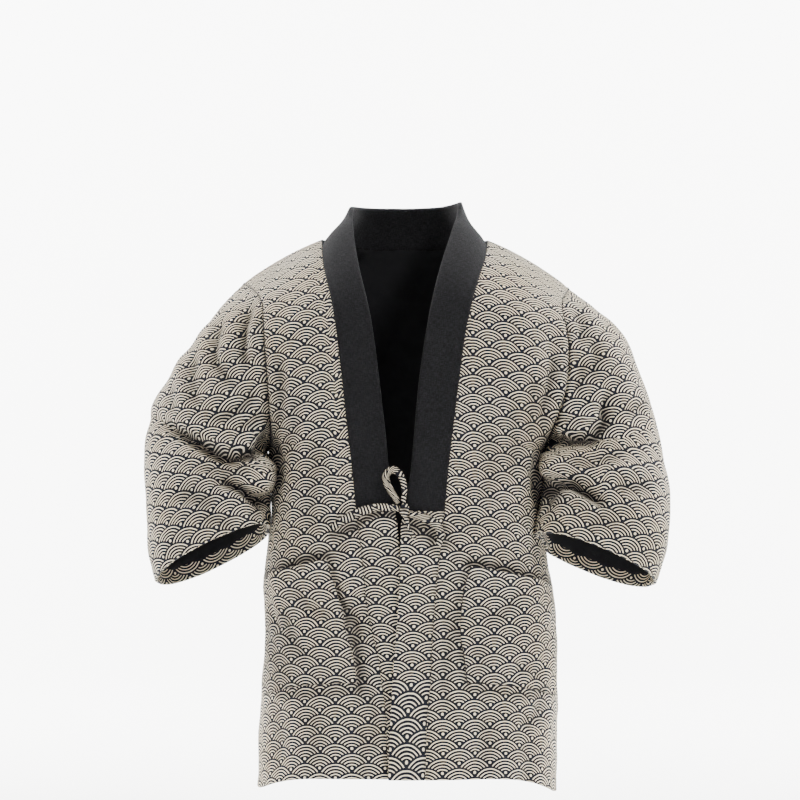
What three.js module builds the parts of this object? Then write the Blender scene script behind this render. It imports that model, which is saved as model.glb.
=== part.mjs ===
import * as THREE from "three";

// A short padded jacket with a long straight collar, open at the neck and tied at
// the waist. It is hollow and keeps its worn shape, with both sleeves bent towards
// the pockets. X runs to the viewer's right, the front faces -Y and Z is up. The
// origin is between the shoulders, 18 mm under the neck ends of the shoulder seams.

// Sizes in millimetres
const WALL = 4; // outer cloth, thin wadding and lining of body and sleeves
const COLLAR_WALL = 6; // the collar is folded over its own seam allowances
const BAND_WALL = 5; // patterned continuation of the collar down to the hem
const STRIP_PROUD = 1; // collar and bands stand this far above the body cloth
const POCKET_WALL = 3;
const POCKET_GAPE = 11; // how far the middle of the mouth stands off
const POCKET_PUFF = 3; // fullness of the middle of the pocket
const SEAM_GAP = 0.3; // neighbouring pieces are this far apart
const POCKET_CLEAR = 0.5; // a pocket's sewn edges above the front they lie on
const LAP_UNDER = 4.5; // the left front goes this far back where it is lapped
const LAP_OVER = 3; // and the right front comes this far forward
const TAPE_WALL = 3; // ties
const NECK_HALF = 108; // collar seam to centre, on the shoulder seam
const NECK_DROP = 42; // how far the back neckline is cut below the shoulder line

// Heights up the cloth from the hem
const HEM = 0;
const POCKET_FOOT = 121;
const POCKET_MOUTH = 270;
const TIE = 334; // where the black collar ends and the bands begin
const ARMPIT = 440;
const SHOULDER = 712;

// Grid of each panel, as segments between the heights and lines above
const ROW_STEPS = [
  { from: HEM, to: POCKET_FOOT, steps: 4 },
  { from: POCKET_FOOT, to: POCKET_MOUTH, steps: 6 },
  { from: POCKET_MOUTH, to: TIE, steps: 3 },
  { from: TIE, to: ARMPIT, steps: 4 },
  { from: ARMPIT, to: SHOULDER, steps: 12 },
];
const SEAM_TO_POCKET = 4; // columns
const POCKET_COLUMNS = 6;
const POCKET_TO_SIDE = 4;
const NECK_COLUMNS = 8;
const STRIP_COLUMNS = 3;
const SLEEVE_STEPS = 22; // rings from armhole to cuff
const POCKET_SIDE_TURN = 1.27; // radians round the body at the pocket's outer edge

// Front, along the middle line: height z, how far it stands forward, how square
// the section is, and how late the rows drop towards the side
const FRONT_MIDDLE = [
  { h: 0, z: -682, out: 148, square: 2.6, late: 6 },
  { h: 115, z: -568, out: 146, square: 2.6, late: 4 },
  { h: 209, z: -474, out: 143.5, square: 2.6, late: 2.2 },
  { h: 270, z: -413, out: 141, square: 2.6, late: 2 },
  { h: 334, z: -349, out: 138, square: 2.6, late: 2.2 },
  { h: 385, z: -303, out: 135, square: 2.6, late: 2.6 },
  { h: 440, z: -262, out: 131, square: 2.6, late: 3 },
  { h: 486, z: -222, out: 127, square: 2.6, late: 3 },
  { h: 515, z: -194, out: 124, square: 2.5, late: 3 },
  { h: 550, z: -158, out: 119, square: 2.4, late: 2.5 },
  { h: 585, z: -122, out: 111.5, square: 2.3, late: 2.5 },
  { h: 618, z: -90, out: 101, square: 2.2, late: 2.5 },
  { h: 648, z: -60, out: 86, square: 2.1, late: 2.2 },
  { h: 672, z: -36, out: 68, square: 2, late: 2 },
  { h: 692, z: -12, out: 43, square: 2, late: 2 },
  { h: 712, z: 17.6, out: -5, square: 2, late: 2 },
];

// Back, the same columns
const BACK_MIDDLE = [
  { h: 0, z: -714, out: 130, square: 2.4, late: 3 },
  { h: 115, z: -600, out: 127, square: 2.4, late: 3 },
  { h: 209, z: -505, out: 123, square: 2.4, late: 3 },
  { h: 334, z: -381, out: 118, square: 2.4, late: 3 },
  { h: 440, z: -277, out: 121, square: 2.4, late: 3 },
  { h: 486, z: -234, out: 124, square: 2.4, late: 2.5 },
  { h: 515, z: -205, out: 126, square: 2.4, late: 2.5 },
  { h: 550, z: -169, out: 127, square: 2.3, late: 2.3 },
  { h: 585, z: -132, out: 126, square: 2.3, late: 2.2 },
  { h: 618, z: -96, out: 122, square: 2.2, late: 2 },
  { h: 648, z: -56, out: 113, square: 2.1, late: 2 },
  { h: 670, z: -12, out: 98, square: 2, late: 2 },
  { h: 692, z: 6, out: 56, square: 2, late: 2 },
  { h: 712, z: 17.6, out: 5, square: 2, late: 2 },
];

// Side seams, which hang in the plane y = 0
const SIDE_SEAM = [
  { h: 0, leftX: 190.5, leftZ: -711, rightX: 196, rightZ: -716 },
  { h: 115, leftX: 186, leftZ: -596, rightX: 197, rightZ: -598 },
  { h: 209, leftX: 181, leftZ: -501, rightX: 196, rightZ: -502 },
  { h: 256, leftX: 184, leftZ: -453, rightX: 191, rightZ: -457 },
  { h: 310, leftX: 178, leftZ: -399, rightX: 182, rightZ: -402 },
  { h: 368, leftX: 173, leftZ: -344, rightX: 176, rightZ: -345 },
  { h: 440, leftX: 176, leftZ: -277, rightX: 179, rightZ: -277 },
];

// Armhole seams of the front and of the back, from armpit to shoulder
const ARMHOLE_FRONT = [
  { h: 440, leftX: 176, leftY: 0, leftZ: -277, rightX: 179, rightY: 0, rightZ: -277 },
  { h: 462, leftX: 172.5, leftY: -36, leftZ: -265, rightX: 181, rightY: -38, rightZ: -266 },
  { h: 486, leftX: 171, leftY: -66, leftZ: -246, rightX: 188, rightY: -65, rightZ: -248 },
  { h: 515, leftX: 172, leftY: -86, leftZ: -217, rightX: 199, rightY: -82, rightZ: -218 },
  { h: 550, leftX: 174, leftY: -94, leftZ: -181, rightX: 207, rightY: -88, rightZ: -183 },
  { h: 585, leftX: 177, leftY: -93, leftZ: -146, rightX: 207, rightY: -86, rightZ: -149 },
  { h: 618, leftX: 179, leftY: -85, leftZ: -114, rightX: 204, rightY: -78, rightZ: -119 },
  { h: 648, leftX: 181, leftY: -71, leftZ: -91, rightX: 200, rightY: -65, rightZ: -95 },
  { h: 672, leftX: 188, leftY: -51, leftZ: -77, rightX: 202, rightY: -46, rightZ: -82 },
  { h: 692, leftX: 199, leftY: -24, leftZ: -67, rightX: 208, rightY: -21, rightZ: -74 },
  { h: 712, leftX: 211, leftY: 5, leftZ: -60, rightX: 214, rightY: 5, rightZ: -66 },
];
const ARMHOLE_BACK = [
  { h: 440, leftX: 176, leftY: 0, leftZ: -277, rightX: 179, rightY: 0, rightZ: -277 },
  { h: 462, leftX: 178, leftY: 34, leftZ: -267, rightX: 181, rightY: 34, rightZ: -267 },
  { h: 486, leftX: 181, leftY: 60, leftZ: -249, rightX: 184, rightY: 60, rightZ: -250 },
  { h: 515, leftX: 184, leftY: 78, leftZ: -221, rightX: 188, rightY: 78, rightZ: -223 },
  { h: 550, leftX: 187, leftY: 87, leftZ: -185, rightX: 192, rightY: 87, rightZ: -188 },
  { h: 585, leftX: 190, leftY: 86, leftZ: -149, rightX: 196, rightY: 86, rightZ: -153 },
  { h: 618, leftX: 194, leftY: 78, leftZ: -119, rightX: 200, rightY: 78, rightZ: -123 },
  { h: 648, leftX: 198, leftY: 65, leftZ: -96, rightX: 204, rightY: 65, rightZ: -101 },
  { h: 672, leftX: 203, leftY: 47, leftZ: -80, rightX: 208, rightY: 47, rightZ: -86 },
  { h: 692, leftX: 207, leftY: 26, leftZ: -69, rightX: 211, rightY: 26, rightZ: -75 },
  { h: 712, leftX: 211, leftY: 5, leftZ: -60, rightX: 214, rightY: 5, rightZ: -66 },
];

// Where collar and bands are sewn to the fronts, and the pockets' inner edges:
// signed x by height
const FRONT_LINES = [
  { h: 0, leftSeam: -21, rightSeam: 24.5, leftPocket: -55, rightPocket: 84 },
  { h: 84, leftSeam: -24, rightSeam: 27, leftPocket: -58, rightPocket: 80 },
  { h: 121, leftSeam: -29, rightSeam: 31, leftPocket: -61.5, rightPocket: 76 },
  { h: 159, leftSeam: -35, rightSeam: 32.5, leftPocket: -68, rightPocket: 71 },
  { h: 187, leftSeam: -41, rightSeam: 34, leftPocket: -75, rightPocket: 68 },
  { h: 226, leftSeam: -48.5, rightSeam: 37, leftPocket: -84, rightPocket: 70 },
  { h: 270, leftSeam: -52.5, rightSeam: 41.5, leftPocket: -97, rightPocket: 80 },
  { h: 334, leftSeam: -60.5, rightSeam: 48.5, leftPocket: -103, rightPocket: 92 },
  { h: 440, leftSeam: -70, rightSeam: 57.5, leftPocket: -107, rightPocket: 98 },
  { h: 515, leftSeam: -77.5, rightSeam: 66, leftPocket: -110, rightPocket: 104 },
  { h: 585, leftSeam: -86, rightSeam: 76, leftPocket: -116, rightPocket: 112 },
  { h: 618, leftSeam: -91, rightSeam: 83, leftPocket: -119, rightPocket: 118 },
  { h: 648, leftSeam: -97, rightSeam: 90.5, leftPocket: -123, rightPocket: 122 },
  { h: 672, leftSeam: -102, rightSeam: 97, leftPocket: -127, rightPocket: 127 },
  { h: 692, leftSeam: -106, rightSeam: 103.5, leftPocket: -131, rightPocket: 131 },
  { h: 712, leftSeam: -108, rightSeam: 108, leftPocket: -136, rightPocket: 136 },
];

// Free edge of collar and bands up the front. rise: how far it runs above the
// row it belongs to; lift: how far it stands forward (-) or back (+) of the row
const FREE_EDGE = [
  { h: 0, leftX: 25, rightX: -21.4, rise: 0, lift: 0 },
  { h: 121, leftX: 17, rightX: -16, rise: 0, lift: 0 },
  { h: 209, leftX: 4, rightX: -9, rise: 0, lift: 0 },
  { h: 270, leftX: -5, rightX: -6.5, rise: 0, lift: 0 },
  { h: 312, leftX: -9.5, rightX: -5.5, rise: 0, lift: 0 },
  { h: 334, leftX: -12.5, rightX: -1.5, rise: 0, lift: 0 },
  { h: 385, leftX: -20, rightX: 6.5, rise: 0, lift: 0 },
  { h: 440, leftX: -24, rightX: 10.5, rise: 2, lift: 0 },
  { h: 515, leftX: -32, rightX: 17, rise: 5, lift: 0 },
  { h: 585, leftX: -42, rightX: 28, rise: 8, lift: 2 },
  { h: 618, leftX: -49, rightX: 35, rise: 11, lift: 5 },
  { h: 648, leftX: -57, rightX: 43, rise: 14, lift: 8 },
  { h: 672, leftX: -62, rightX: 50.5, rise: 17, lift: 11 },
  { h: 692, leftX: -66, rightX: 58.5, rise: 19, lift: 10 },
  { h: 712, leftX: -69, rightX: 67, rise: 21, lift: -6 },
];

// Free edge of the collar behind the neck, from the left shoulder to the right
const NAPE_EDGE = [
  { turn: 0, x: -69, y: -1, z: 21 },
  { turn: 0.125, x: -72, y: 27, z: 42 },
  { turn: 0.25, x: -66, y: 54, z: 44 },
  { turn: 0.375, x: -42, y: 76, z: 44 },
  { turn: 0.5, x: 0, y: 84, z: 44 },
  { turn: 0.625, x: 42, y: 76, z: 45 },
  { turn: 0.75, x: 67, y: 54, z: 48 },
  { turn: 0.875, x: 74, y: 27, z: 49 },
  { turn: 1, x: 67, y: -1, z: 21 },
];

// Sleeves, as sections from the armhole (0) to the cuff (8): the point on the
// outer line, the point on the underarm line, how far the front and the back
// bulge from the line between them, and how far the front edge is raised
const SLEEVE_LEFT = [
  { s: 0, outX: -211, outY: 5, outZ: -60, inX: -176, inY: 0, inZ: -277, front: 94, back: 88, raise: 0 },
  { s: 1, outX: -240, outY: 9, outZ: -101, inX: -179, inY: -9, inZ: -281, front: 93, back: 87, raise: 0.02 },
  { s: 2, outX: -279, outY: 12, outZ: -139, inX: -180, inY: -20, inZ: -287, front: 88, back: 83, raise: 0.06 },
  { s: 3, outX: -314, outY: 12, outZ: -184, inX: -180, inY: -30, inZ: -294, front: 84, back: 78, raise: 0.1 },
  { s: 4, outX: -334, outY: 8, outZ: -232, inX: -178, inY: -40, inZ: -303, front: 80, back: 74, raise: 0.14 },
  { s: 5, outX: -339, outY: -2, outZ: -290, inX: -176, inY: -48, inZ: -316, front: 77, back: 70, raise: 0.2 },
  { s: 6, outX: -334, outY: -18, outZ: -349, inX: -174, inY: -53, inZ: -333, front: 73, back: 66, raise: 0.26 },
  { s: 7, outX: -326, outY: -36, outZ: -410, inX: -173, inY: -56, inZ: -352, front: 68, back: 62, raise: 0.32 },
  { s: 8, outX: -317, outY: -48, outZ: -447, inX: -172, inY: -57, inZ: -373, front: 62, back: 60, raise: 0.36 },
];
const SLEEVE_RIGHT = [
  { s: 0, outX: 214, outY: 5, outZ: -66, inX: 179, inY: 0, inZ: -277, front: 94, back: 88, raise: 0 },
  { s: 1, outX: 243, outY: 9, outZ: -91, inX: 182, inY: -10, inZ: -281, front: 93, back: 87, raise: 0.02 },
  { s: 2, outX: 283, outY: 12, outZ: -130, inX: 183, inY: -21, inZ: -287, front: 88, back: 83, raise: 0.06 },
  { s: 3, outX: 311, outY: 12, outZ: -185, inX: 183, inY: -33, inZ: -294, front: 84, back: 78, raise: 0.1 },
  { s: 4, outX: 327, outY: 8, outZ: -240, inX: 181, inY: -46, inZ: -304, front: 80, back: 74, raise: 0.14 },
  { s: 5, outX: 338, outY: -3, outZ: -300, inX: 178, inY: -58, inZ: -319, front: 77, back: 70, raise: 0.2 },
  { s: 6, outX: 342, outY: -20, outZ: -350, inX: 174, inY: -70, inZ: -338, front: 73, back: 66, raise: 0.26 },
  { s: 7, outX: 331, outY: -38, outZ: -404, inX: 169, inY: -80, inZ: -359, front: 68, back: 62, raise: 0.32 },
  { s: 8, outX: 315, outY: -50, outZ: -450, inX: 163, inY: -87, inZ: -381, front: 62, back: 60, raise: 0.36 },
];
const SLEEVE_SQUARE = 2.2;
const SLEEVE_CLEAR = 3; // a sleeve keeps this far from the body's side

// Large folds, one row each, as seen from the front or the back: a line from
// (x0, z0) to (x1, z1), its half width, and its height above the cloth
// (negative for a trough)
const FOLDS = [
  { piece: "sleeve_left_front", x0: -185, z0: -268, x1: -228, z1: -290, half: 17, high: -7 },
  { piece: "sleeve_left_front", x0: -228, z0: -290, x1: -316, z1: -236, half: 17, high: -7 },
  { piece: "sleeve_left_front", x0: -190, z0: -305, x1: -250, z1: -322, half: 20, high: 6 },
  { piece: "sleeve_left_front", x0: -172, z0: -350, x1: -240, z1: -316, half: 15, high: -7 },
  { piece: "sleeve_left_front", x0: -205, z0: -85, x1: -212, z1: -160, half: 17, high: -5 },
  { piece: "sleeve_left_front", x0: -250, z0: -115, x1: -258, z1: -190, half: 18, high: -5 },
  { piece: "sleeve_right_front", x0: 200, z0: -262, x1: 240, z1: -262, half: 17, high: -6 },
  { piece: "sleeve_right_front", x0: 240, z0: -262, x1: 264, z1: -190, half: 17, high: -7 },
  { piece: "sleeve_right_front", x0: 200, z0: -296, x1: 256, z1: -292, half: 20, high: 6 },
  { piece: "sleeve_right_front", x0: 176, z0: -345, x1: 206, z1: -318, half: 16, high: -7 },
  { piece: "sleeve_right_front", x0: 206, z0: -318, x1: 262, z1: -350, half: 16, high: -7 },
  { piece: "sleeve_left_back", x0: -200, z0: -285, x1: -300, z1: -262, half: 20, high: -7 },
  { piece: "sleeve_left_back", x0: -195, z0: -330, x1: -300, z1: -330, half: 18, high: -5 },
  { piece: "sleeve_left_back", x0: -230, z0: -120, x1: -236, z1: -196, half: 20, high: -5 },
  { piece: "sleeve_right_back", x0: 204, z0: -285, x1: 305, z1: -270, half: 20, high: -7 },
  { piece: "sleeve_right_back", x0: 200, z0: -336, x1: 300, z1: -338, half: 18, high: -5 },
  { piece: "sleeve_right_back", x0: 236, z0: -122, x1: 244, z1: -200, half: 20, high: -5 },
  { piece: "front_left", x0: -60, z0: -470, x1: -50, z1: -620, half: 18, high: -4 },
  { piece: "front_left", x0: -132, z0: -120, x1: -128, z1: -380, half: 24, high: 4 },
  { piece: "front_right", x0: 188, z0: -140, x1: 172, z1: -230, half: 17, high: -6 },
  { piece: "front_right", x0: 146, z0: -110, x1: 152, z1: -330, half: 24, high: 5 },
  { piece: "back", x0: -124, z0: -160, x1: -150, z1: -430, half: 28, high: -6 },
  { piece: "back", x0: 126, z0: -160, x1: 152, z1: -440, half: 28, high: -6 },
  { piece: "back", x0: -44, z0: -400, x1: -56, z1: -700, half: 32, high: -5 },
  { piece: "back", x0: 66, z0: -430, x1: 60, z1: -700, half: 32, high: -5 },
];

// Patch pockets and how far each end of the mouth lies above the mouth's row
const POCKETS = [
  { name: "pocket_left", on: "front_left", mouthInner: 11, mouthOuter: -4 },
  { name: "pocket_right", on: "front_right", mouthInner: 1, mouthOuter: -8 },
];

// Ties: stations along each tape, its centre, how far that lies off the front,
// the tape's width there, and how far its face is turned about its own length
// (degrees; 0 faces the front)
const TAPES = {
  tie_left: [
    { x: -91, z: -371, off: 4, wide: 9, turn: 0 },
    { x: -76, z: -361, off: 5, wide: 11, turn: 0 },
    { x: -59, z: -352, off: 5, wide: 12, turn: 0 },
    { x: -40, z: -346, off: 4, wide: 11, turn: 4 },
    { x: -22, z: -345, off: 4.5, wide: 10, turn: 8 },
    { x: -6.9, z: -347, off: 5.2, wide: 8, turn: 10 },
  ],
  tie_right: [
    { x: 41, z: -392, off: 4, wide: 8, turn: 0 },
    { x: 44, z: -378, off: 5, wide: 10, turn: 0 },
    { x: 38, z: -366, off: 5, wide: 12, turn: 0 },
    { x: 24, z: -358, off: 5, wide: 12, turn: 0 },
    { x: 4.9, z: -353, off: 5.2, wide: 9, turn: 0 },
  ],
  tie_loop: [
    { x: -2, z: -338.6, off: 8, wide: 7, turn: 20 },
    { x: -1, z: -322, off: 10, wide: 8, turn: 15 },
    { x: -5, z: -306, off: 12, wide: 9, turn: 10 },
    { x: -15, z: -298, off: 12, wide: 10, turn: 0 },
    { x: -24, z: -306, off: 10, wide: 10, turn: -10 },
    { x: -20, z: -320, off: 7, wide: 10, turn: -15 },
    { x: -8, z: -339.4, off: 4, wide: 8, turn: -10 },
  ],
  tie_tail: [
    { x: 0, z: -357.3, off: 5.2, wide: 6, turn: 40 },
    { x: 5, z: -371, off: 7, wide: 6, turn: 60 },
    { x: 12, z: -384, off: 7, wide: 6, turn: 50 },
  ],
};
const KNOT = { x: -1, z: -348, off: 5.2, wide: 11, deep: 9, high: 18 };

// Colours, as seen
const PRINT_COLOUR = "#8d8878";
const BLACK_COLOUR = "#242427";

const sideName = (side) => (side < 0 ? "left" : "right");

// Smooth value of one column at a given place in a table, without overshoot
function column(rows, key, name, at) {
  const last = rows.length - 1;
  if (at <= rows[0][key]) return rows[0][name];
  if (at >= rows[last][key]) return rows[last][name];
  let i = 0;
  while (rows[i + 1][key] < at) i++;
  const slope = (k) =>
    (rows[k + 1][name] - rows[k][name]) / (rows[k + 1][key] - rows[k][key]);
  const tangent = (k) => {
    if (k === 0) return slope(0);
    if (k === last) return slope(last - 1);
    const a = slope(k - 1),
      b = slope(k);
    return a * b <= 0 ? 0 : (2 * a * b) / (a + b);
  };
  const span = rows[i + 1][key] - rows[i][key];
  const t = (at - rows[i][key]) / span;
  const u = 1 - t;
  return (
    u * u * (1 + 2 * t) * rows[i][name] +
    t * t * (1 + 2 * u) * rows[i + 1][name] +
    span * t * u * (u * tangent(i) - t * tangent(i + 1))
  );
}

const smooth = (from, to, x) => {
  const t = Math.min(1, Math.max(0, (x - from) / (to - from)));
  return t * t * (3 - 2 * t);
};

// Where the panel of one side ends at a height: its side seam or its armhole
function panelEdge(armhole, side, h) {
  const name = sideName(side);
  if (h <= ARMPIT)
    return {
      x: column(SIDE_SEAM, "h", name + "X", h),
      y: 0,
      z: column(SIDE_SEAM, "h", name + "Z", h),
    };
  return {
    x: column(armhole, "h", name + "X", h),
    y: column(armhole, "h", name + "Y", h),
    z: column(armhole, "h", name + "Z", h),
  };
}

// How far the lapped fronts move apart, by place
function lap(side, x, h) {
  const near = 1 - smooth(35, 110, Math.abs(x));
  const low = 1 - smooth(296, TIE, h);
  return (side < 0 ? LAP_UNDER : -LAP_OVER) * near * low;
}

// Point of the front at a signed x and a height
function frontPoint(side, x, h) {
  const edge = panelEdge(ARMHOLE_FRONT, side, h);
  const square = column(FRONT_MIDDLE, "h", "square", h);
  const share = Math.min(1, Math.abs(x) / edge.x);
  const bow = Math.pow(1 - Math.pow(share, square), 1 / square);
  const out = column(FRONT_MIDDLE, "h", "out", h);
  const z = column(FRONT_MIDDLE, "h", "z", h);
  const late = column(FRONT_MIDDLE, "h", "late", h);
  return new THREE.Vector3(
    x,
    edge.y - (out + edge.y) * bow + lap(side, x, h),
    z + (edge.z - z) * Math.pow(share, late),
  );
}

// Point of the back at a signed x and a height
function backPoint(x, h) {
  const side = x < 0 ? -1 : 1;
  const edge = panelEdge(ARMHOLE_BACK, side, h);
  const square = column(BACK_MIDDLE, "h", "square", h);
  const share = Math.min(1, Math.abs(x) / edge.x);
  const bow = Math.pow(1 - Math.pow(share, square), 1 / square);
  const out = column(BACK_MIDDLE, "h", "out", h);
  const z = column(BACK_MIDDLE, "h", "z", h);
  const late = column(BACK_MIDDLE, "h", "late", h);
  return new THREE.Vector3(
    x,
    edge.y + (out - edge.y) * bow,
    z + (edge.z - z) * Math.pow(share, late),
  );
}

// x of every column of a panel's half at a height, from its inner line to its
// edge: below the arm the columns follow the pocket, above it they are even
function columnsAt(side, inner, middle, edgeX, square, h) {
  const turnOf = (x) =>
    Math.asin(Math.min(1, Math.pow(Math.abs(x) / edgeX, square / 2)));
  const stops = [turnOf(inner), turnOf(middle), POCKET_SIDE_TURN, Math.PI / 2];
  const counts = [SEAM_TO_POCKET, POCKET_COLUMNS, POCKET_TO_SIDE];
  const total = SEAM_TO_POCKET + POCKET_COLUMNS + POCKET_TO_SIDE;
  const turns = [stops[0]];
  counts.forEach((count, k) => {
    for (let i = 1; i <= count; i++)
      turns.push(stops[k] + ((stops[k + 1] - stops[k]) * i) / count);
  });
  const even = smooth(TIE, ARMPIT + 30, h);
  return turns.map((turn, j) => {
    const low = edgeX * Math.pow(Math.sin(turn), 2 / square);
    const high = Math.abs(inner) + ((edgeX - Math.abs(inner)) * j) / total;
    return side * (low + (high - low) * even);
  });
}

const heights = [HEM];
for (const { from, to, steps } of ROW_STEPS)
  for (let i = 1; i <= steps; i++) heights.push(from + ((to - from) * i) / steps);
const tieRow = heights.indexOf(TIE);
const armpitRow = heights.indexOf(ARMPIT);
const footRow = heights.indexOf(POCKET_FOOT);
const mouthRow = heights.indexOf(POCKET_MOUTH);

// Grids of points: rows up the cloth, columns across it
function frontGrid(side) {
  const name = sideName(side);
  return heights.map((h) => {
    const xs = columnsAt(
      side,
      column(FRONT_LINES, "h", name + "Seam", h),
      column(FRONT_LINES, "h", name + "Pocket", h),
      panelEdge(ARMHOLE_FRONT, side, h).x,
      column(FRONT_MIDDLE, "h", "square", h),
      h,
    );
    return xs.map((x) => frontPoint(side, x, h));
  });
}

// The back's middle columns end at the neckline, which is cut below the
// shoulder line; its outer columns meet the fronts' columns on that line
function backGrid() {
  const neckTop = (x) =>
    SHOULDER - NECK_DROP * (1 - Math.pow(Math.abs(x) / NECK_HALF, 3));
  return heights.map((h, row) => {
    const halves = [-1, 1].map((side) =>
      columnsAt(
        side,
        NECK_HALF,
        NECK_HALF + 26,
        panelEdge(ARMHOLE_BACK, side, h).x,
        column(BACK_MIDDLE, "h", "square", h),
        h,
      ).map((x) => backPoint(x, h)),
    );
    const middle = [];
    for (let i = 1; i < NECK_COLUMNS; i++) {
      const x = NECK_HALF * ((2 * i) / NECK_COLUMNS - 1);
      const top = neckTop(x);
      const up =
        row <= armpitRow
          ? h
          : ARMPIT + ((top - ARMPIT) * (h - ARMPIT)) / (SHOULDER - ARMPIT);
      middle.push(backPoint(x, up));
    }
    return [...halves[0].reverse(), ...middle, ...halves[1]];
  });
}

// A strip from the seam line to its free edge
const across = (seam, free, bulge) => {
  const points = [];
  for (let i = 0; i <= STRIP_COLUMNS; i++) {
    const t = i / STRIP_COLUMNS;
    const p = seam.clone().lerp(free, t);
    points.push(p.add(bulge.clone().multiplyScalar(4 * t * (1 - t))));
  }
  return points;
};

function freeEdge(side, h) {
  const name = sideName(side);
  const p = frontPoint(side, column(FREE_EDGE, "h", name + "X", h), h);
  p.z += column(FREE_EDGE, "h", "rise", h);
  p.y += column(FREE_EDGE, "h", "lift", h);
  if (h >= SHOULDER) {
    const nape = NAPE_EDGE[side < 0 ? 0 : NAPE_EDGE.length - 1];
    p.set(nape.x, nape.y, nape.z);
  }
  return p;
}

function bandGrid(side) {
  const seams = frontGrid(side).map((row) => row[0]);
  return heights
    .slice(0, tieRow + 1)
    .map((h, row) => across(seams[row], freeEdge(side, h), new THREE.Vector3()));
}

// The collar runs up the left front, round the neck and down the right front
function collarGrid() {
  const rows = [];
  const bulge = new THREE.Vector3();
  const up = (side) => {
    const seams = frontGrid(side).map((row) => row[0]);
    return heights.slice(tieRow).map((h, i) => {
      const high = smooth(600, SHOULDER, h);
      bulge.set(side * 3 * high, -3 * high, 2 * high);
      return across(seams[tieRow + i], freeEdge(side, h), bulge);
    });
  };
  rows.push(...up(-1));
  const neck = backGrid().at(-1);
  const first = SEAM_TO_POCKET + POCKET_COLUMNS + POCKET_TO_SIDE;
  for (let i = 1; i < NECK_COLUMNS; i++) {
    const turn = i / NECK_COLUMNS;
    const free = new THREE.Vector3(
      column(NAPE_EDGE, "turn", "x", turn),
      column(NAPE_EDGE, "turn", "y", turn),
      column(NAPE_EDGE, "turn", "z", turn),
    );
    bulge.set(-3 * Math.cos(Math.PI * turn), 3 * Math.sin(Math.PI * turn), 2);
    rows.push(across(neck[first + i], free, bulge));
  }
  rows.push(...up(1).reverse());
  return rows;
}

// Moves a sleeve's point out to where it just clears the side of the body
function clearOfBody(side, p) {
  const name = sideName(side);
  const h = column(SIDE_SEAM, name + "Z", "h", p.z);
  const table = p.y < 0 ? FRONT_MIDDLE : BACK_MIDDLE;
  const square = column(table, "h", "square", h);
  const share = Math.min(1, Math.abs(p.y) / column(table, "h", "out", h));
  const bound =
    panelEdge(ARMHOLE_FRONT, side, h).x *
      Math.pow(1 - Math.pow(share, square), 1 / square) +
    SLEEVE_CLEAR;
  const x = side * p.x;
  p.x = side * (bound + Math.log(1 + Math.exp((x - bound) / 2)) * 2);
}

// Half a sleeve: rings from the armhole to the cuff, columns from the underarm
// line to the outer line round the front (face -1) or the back (face 1)
function sleeveGrid(side, face) {
  const table = side < 0 ? SLEEVE_LEFT : SLEEVE_RIGHT;
  const columns = heights.length - 1 - armpitRow;
  const armhole = heights
    .slice(armpitRow)
    .map((h) => panelEdge(face < 0 ? ARMHOLE_FRONT : ARMHOLE_BACK, side, h))
    .map((edge) => new THREE.Vector3(side * edge.x, edge.y, edge.z));
  const section = (s, j) => {
    const get = (name) => column(table, "s", name, s);
    const outer = new THREE.Vector3(get("outX"), get("outY"), get("outZ"));
    const inner = new THREE.Vector3(get("inX"), get("inY"), get("inZ"));
    const centre = outer.clone().add(inner).multiplyScalar(0.5);
    const width = outer.clone().sub(inner).multiplyScalar(0.5);
    const across = width.clone().normalize();
    const depth = new THREE.Vector3(0, -1, get("raise"));
    depth.addScaledVector(across, -depth.dot(across)).normalize();
    const turn = Math.PI * (1 - j / columns);
    const power = 2 / SLEEVE_SQUARE;
    const c = Math.sign(Math.cos(turn)) * Math.pow(Math.abs(Math.cos(turn)), power);
    const d = Math.pow(Math.max(0, Math.sin(turn)), power);
    return centre
      .addScaledVector(width, c)
      .addScaledVector(depth, (face < 0 ? get("front") : -get("back")) * d);
  };
  const rows = [];
  for (let i = 0; i <= SLEEVE_STEPS; i++) {
    const s = (8 * i) / SLEEVE_STEPS;
    const hold = Math.pow(Math.max(0, 1 - s / 1.6), 2);
    const row = [];
    for (let j = 0; j <= columns; j++) {
      const p = section(s, j);
      p.addScaledVector(armhole[j].clone().sub(section(0, j)), hold);
      if (p.z < SIDE_SEAM.at(-1).leftZ) clearOfBody(side, p);
      row.push(i === 0 ? armhole[j].clone() : p);
    }
    rows.push(row);
  }
  return rows;
}

// Normals of a grid, with the sum kept per place so that sewn pieces share them
const keyOf = (p) => [p.x, p.y, p.z].map((v) => Math.round(v * 50)).join();

function faceNormals(grid, flip) {
  const sums = grid.map((row) => row.map(() => new THREE.Vector3()));
  const a = new THREE.Vector3(),
    b = new THREE.Vector3();
  for (let i = 0; i + 1 < grid.length; i++)
    for (let j = 0; j + 1 < grid[i].length; j++) {
      a.subVectors(grid[i + 1][j + 1], grid[i][j]);
      b.subVectors(grid[i][j + 1], grid[i + 1][j]);
      const n = a.clone().cross(b);
      if (flip) n.negate();
      for (const [r, c] of [[i, j], [i + 1, j], [i, j + 1], [i + 1, j + 1]])
        sums[r][c].add(n);
    }
  return sums;
}

// True when the grid's own order faces the inside
function facesIn(grid, inside) {
  let total = 0;
  const sums = faceNormals(grid, false);
  grid.forEach((row, i) =>
    row.forEach((p, j) => {
      total += sums[i][j].dot(p.clone().sub(inside(p)));
    }),
  );
  return total < 0;
}

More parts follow.
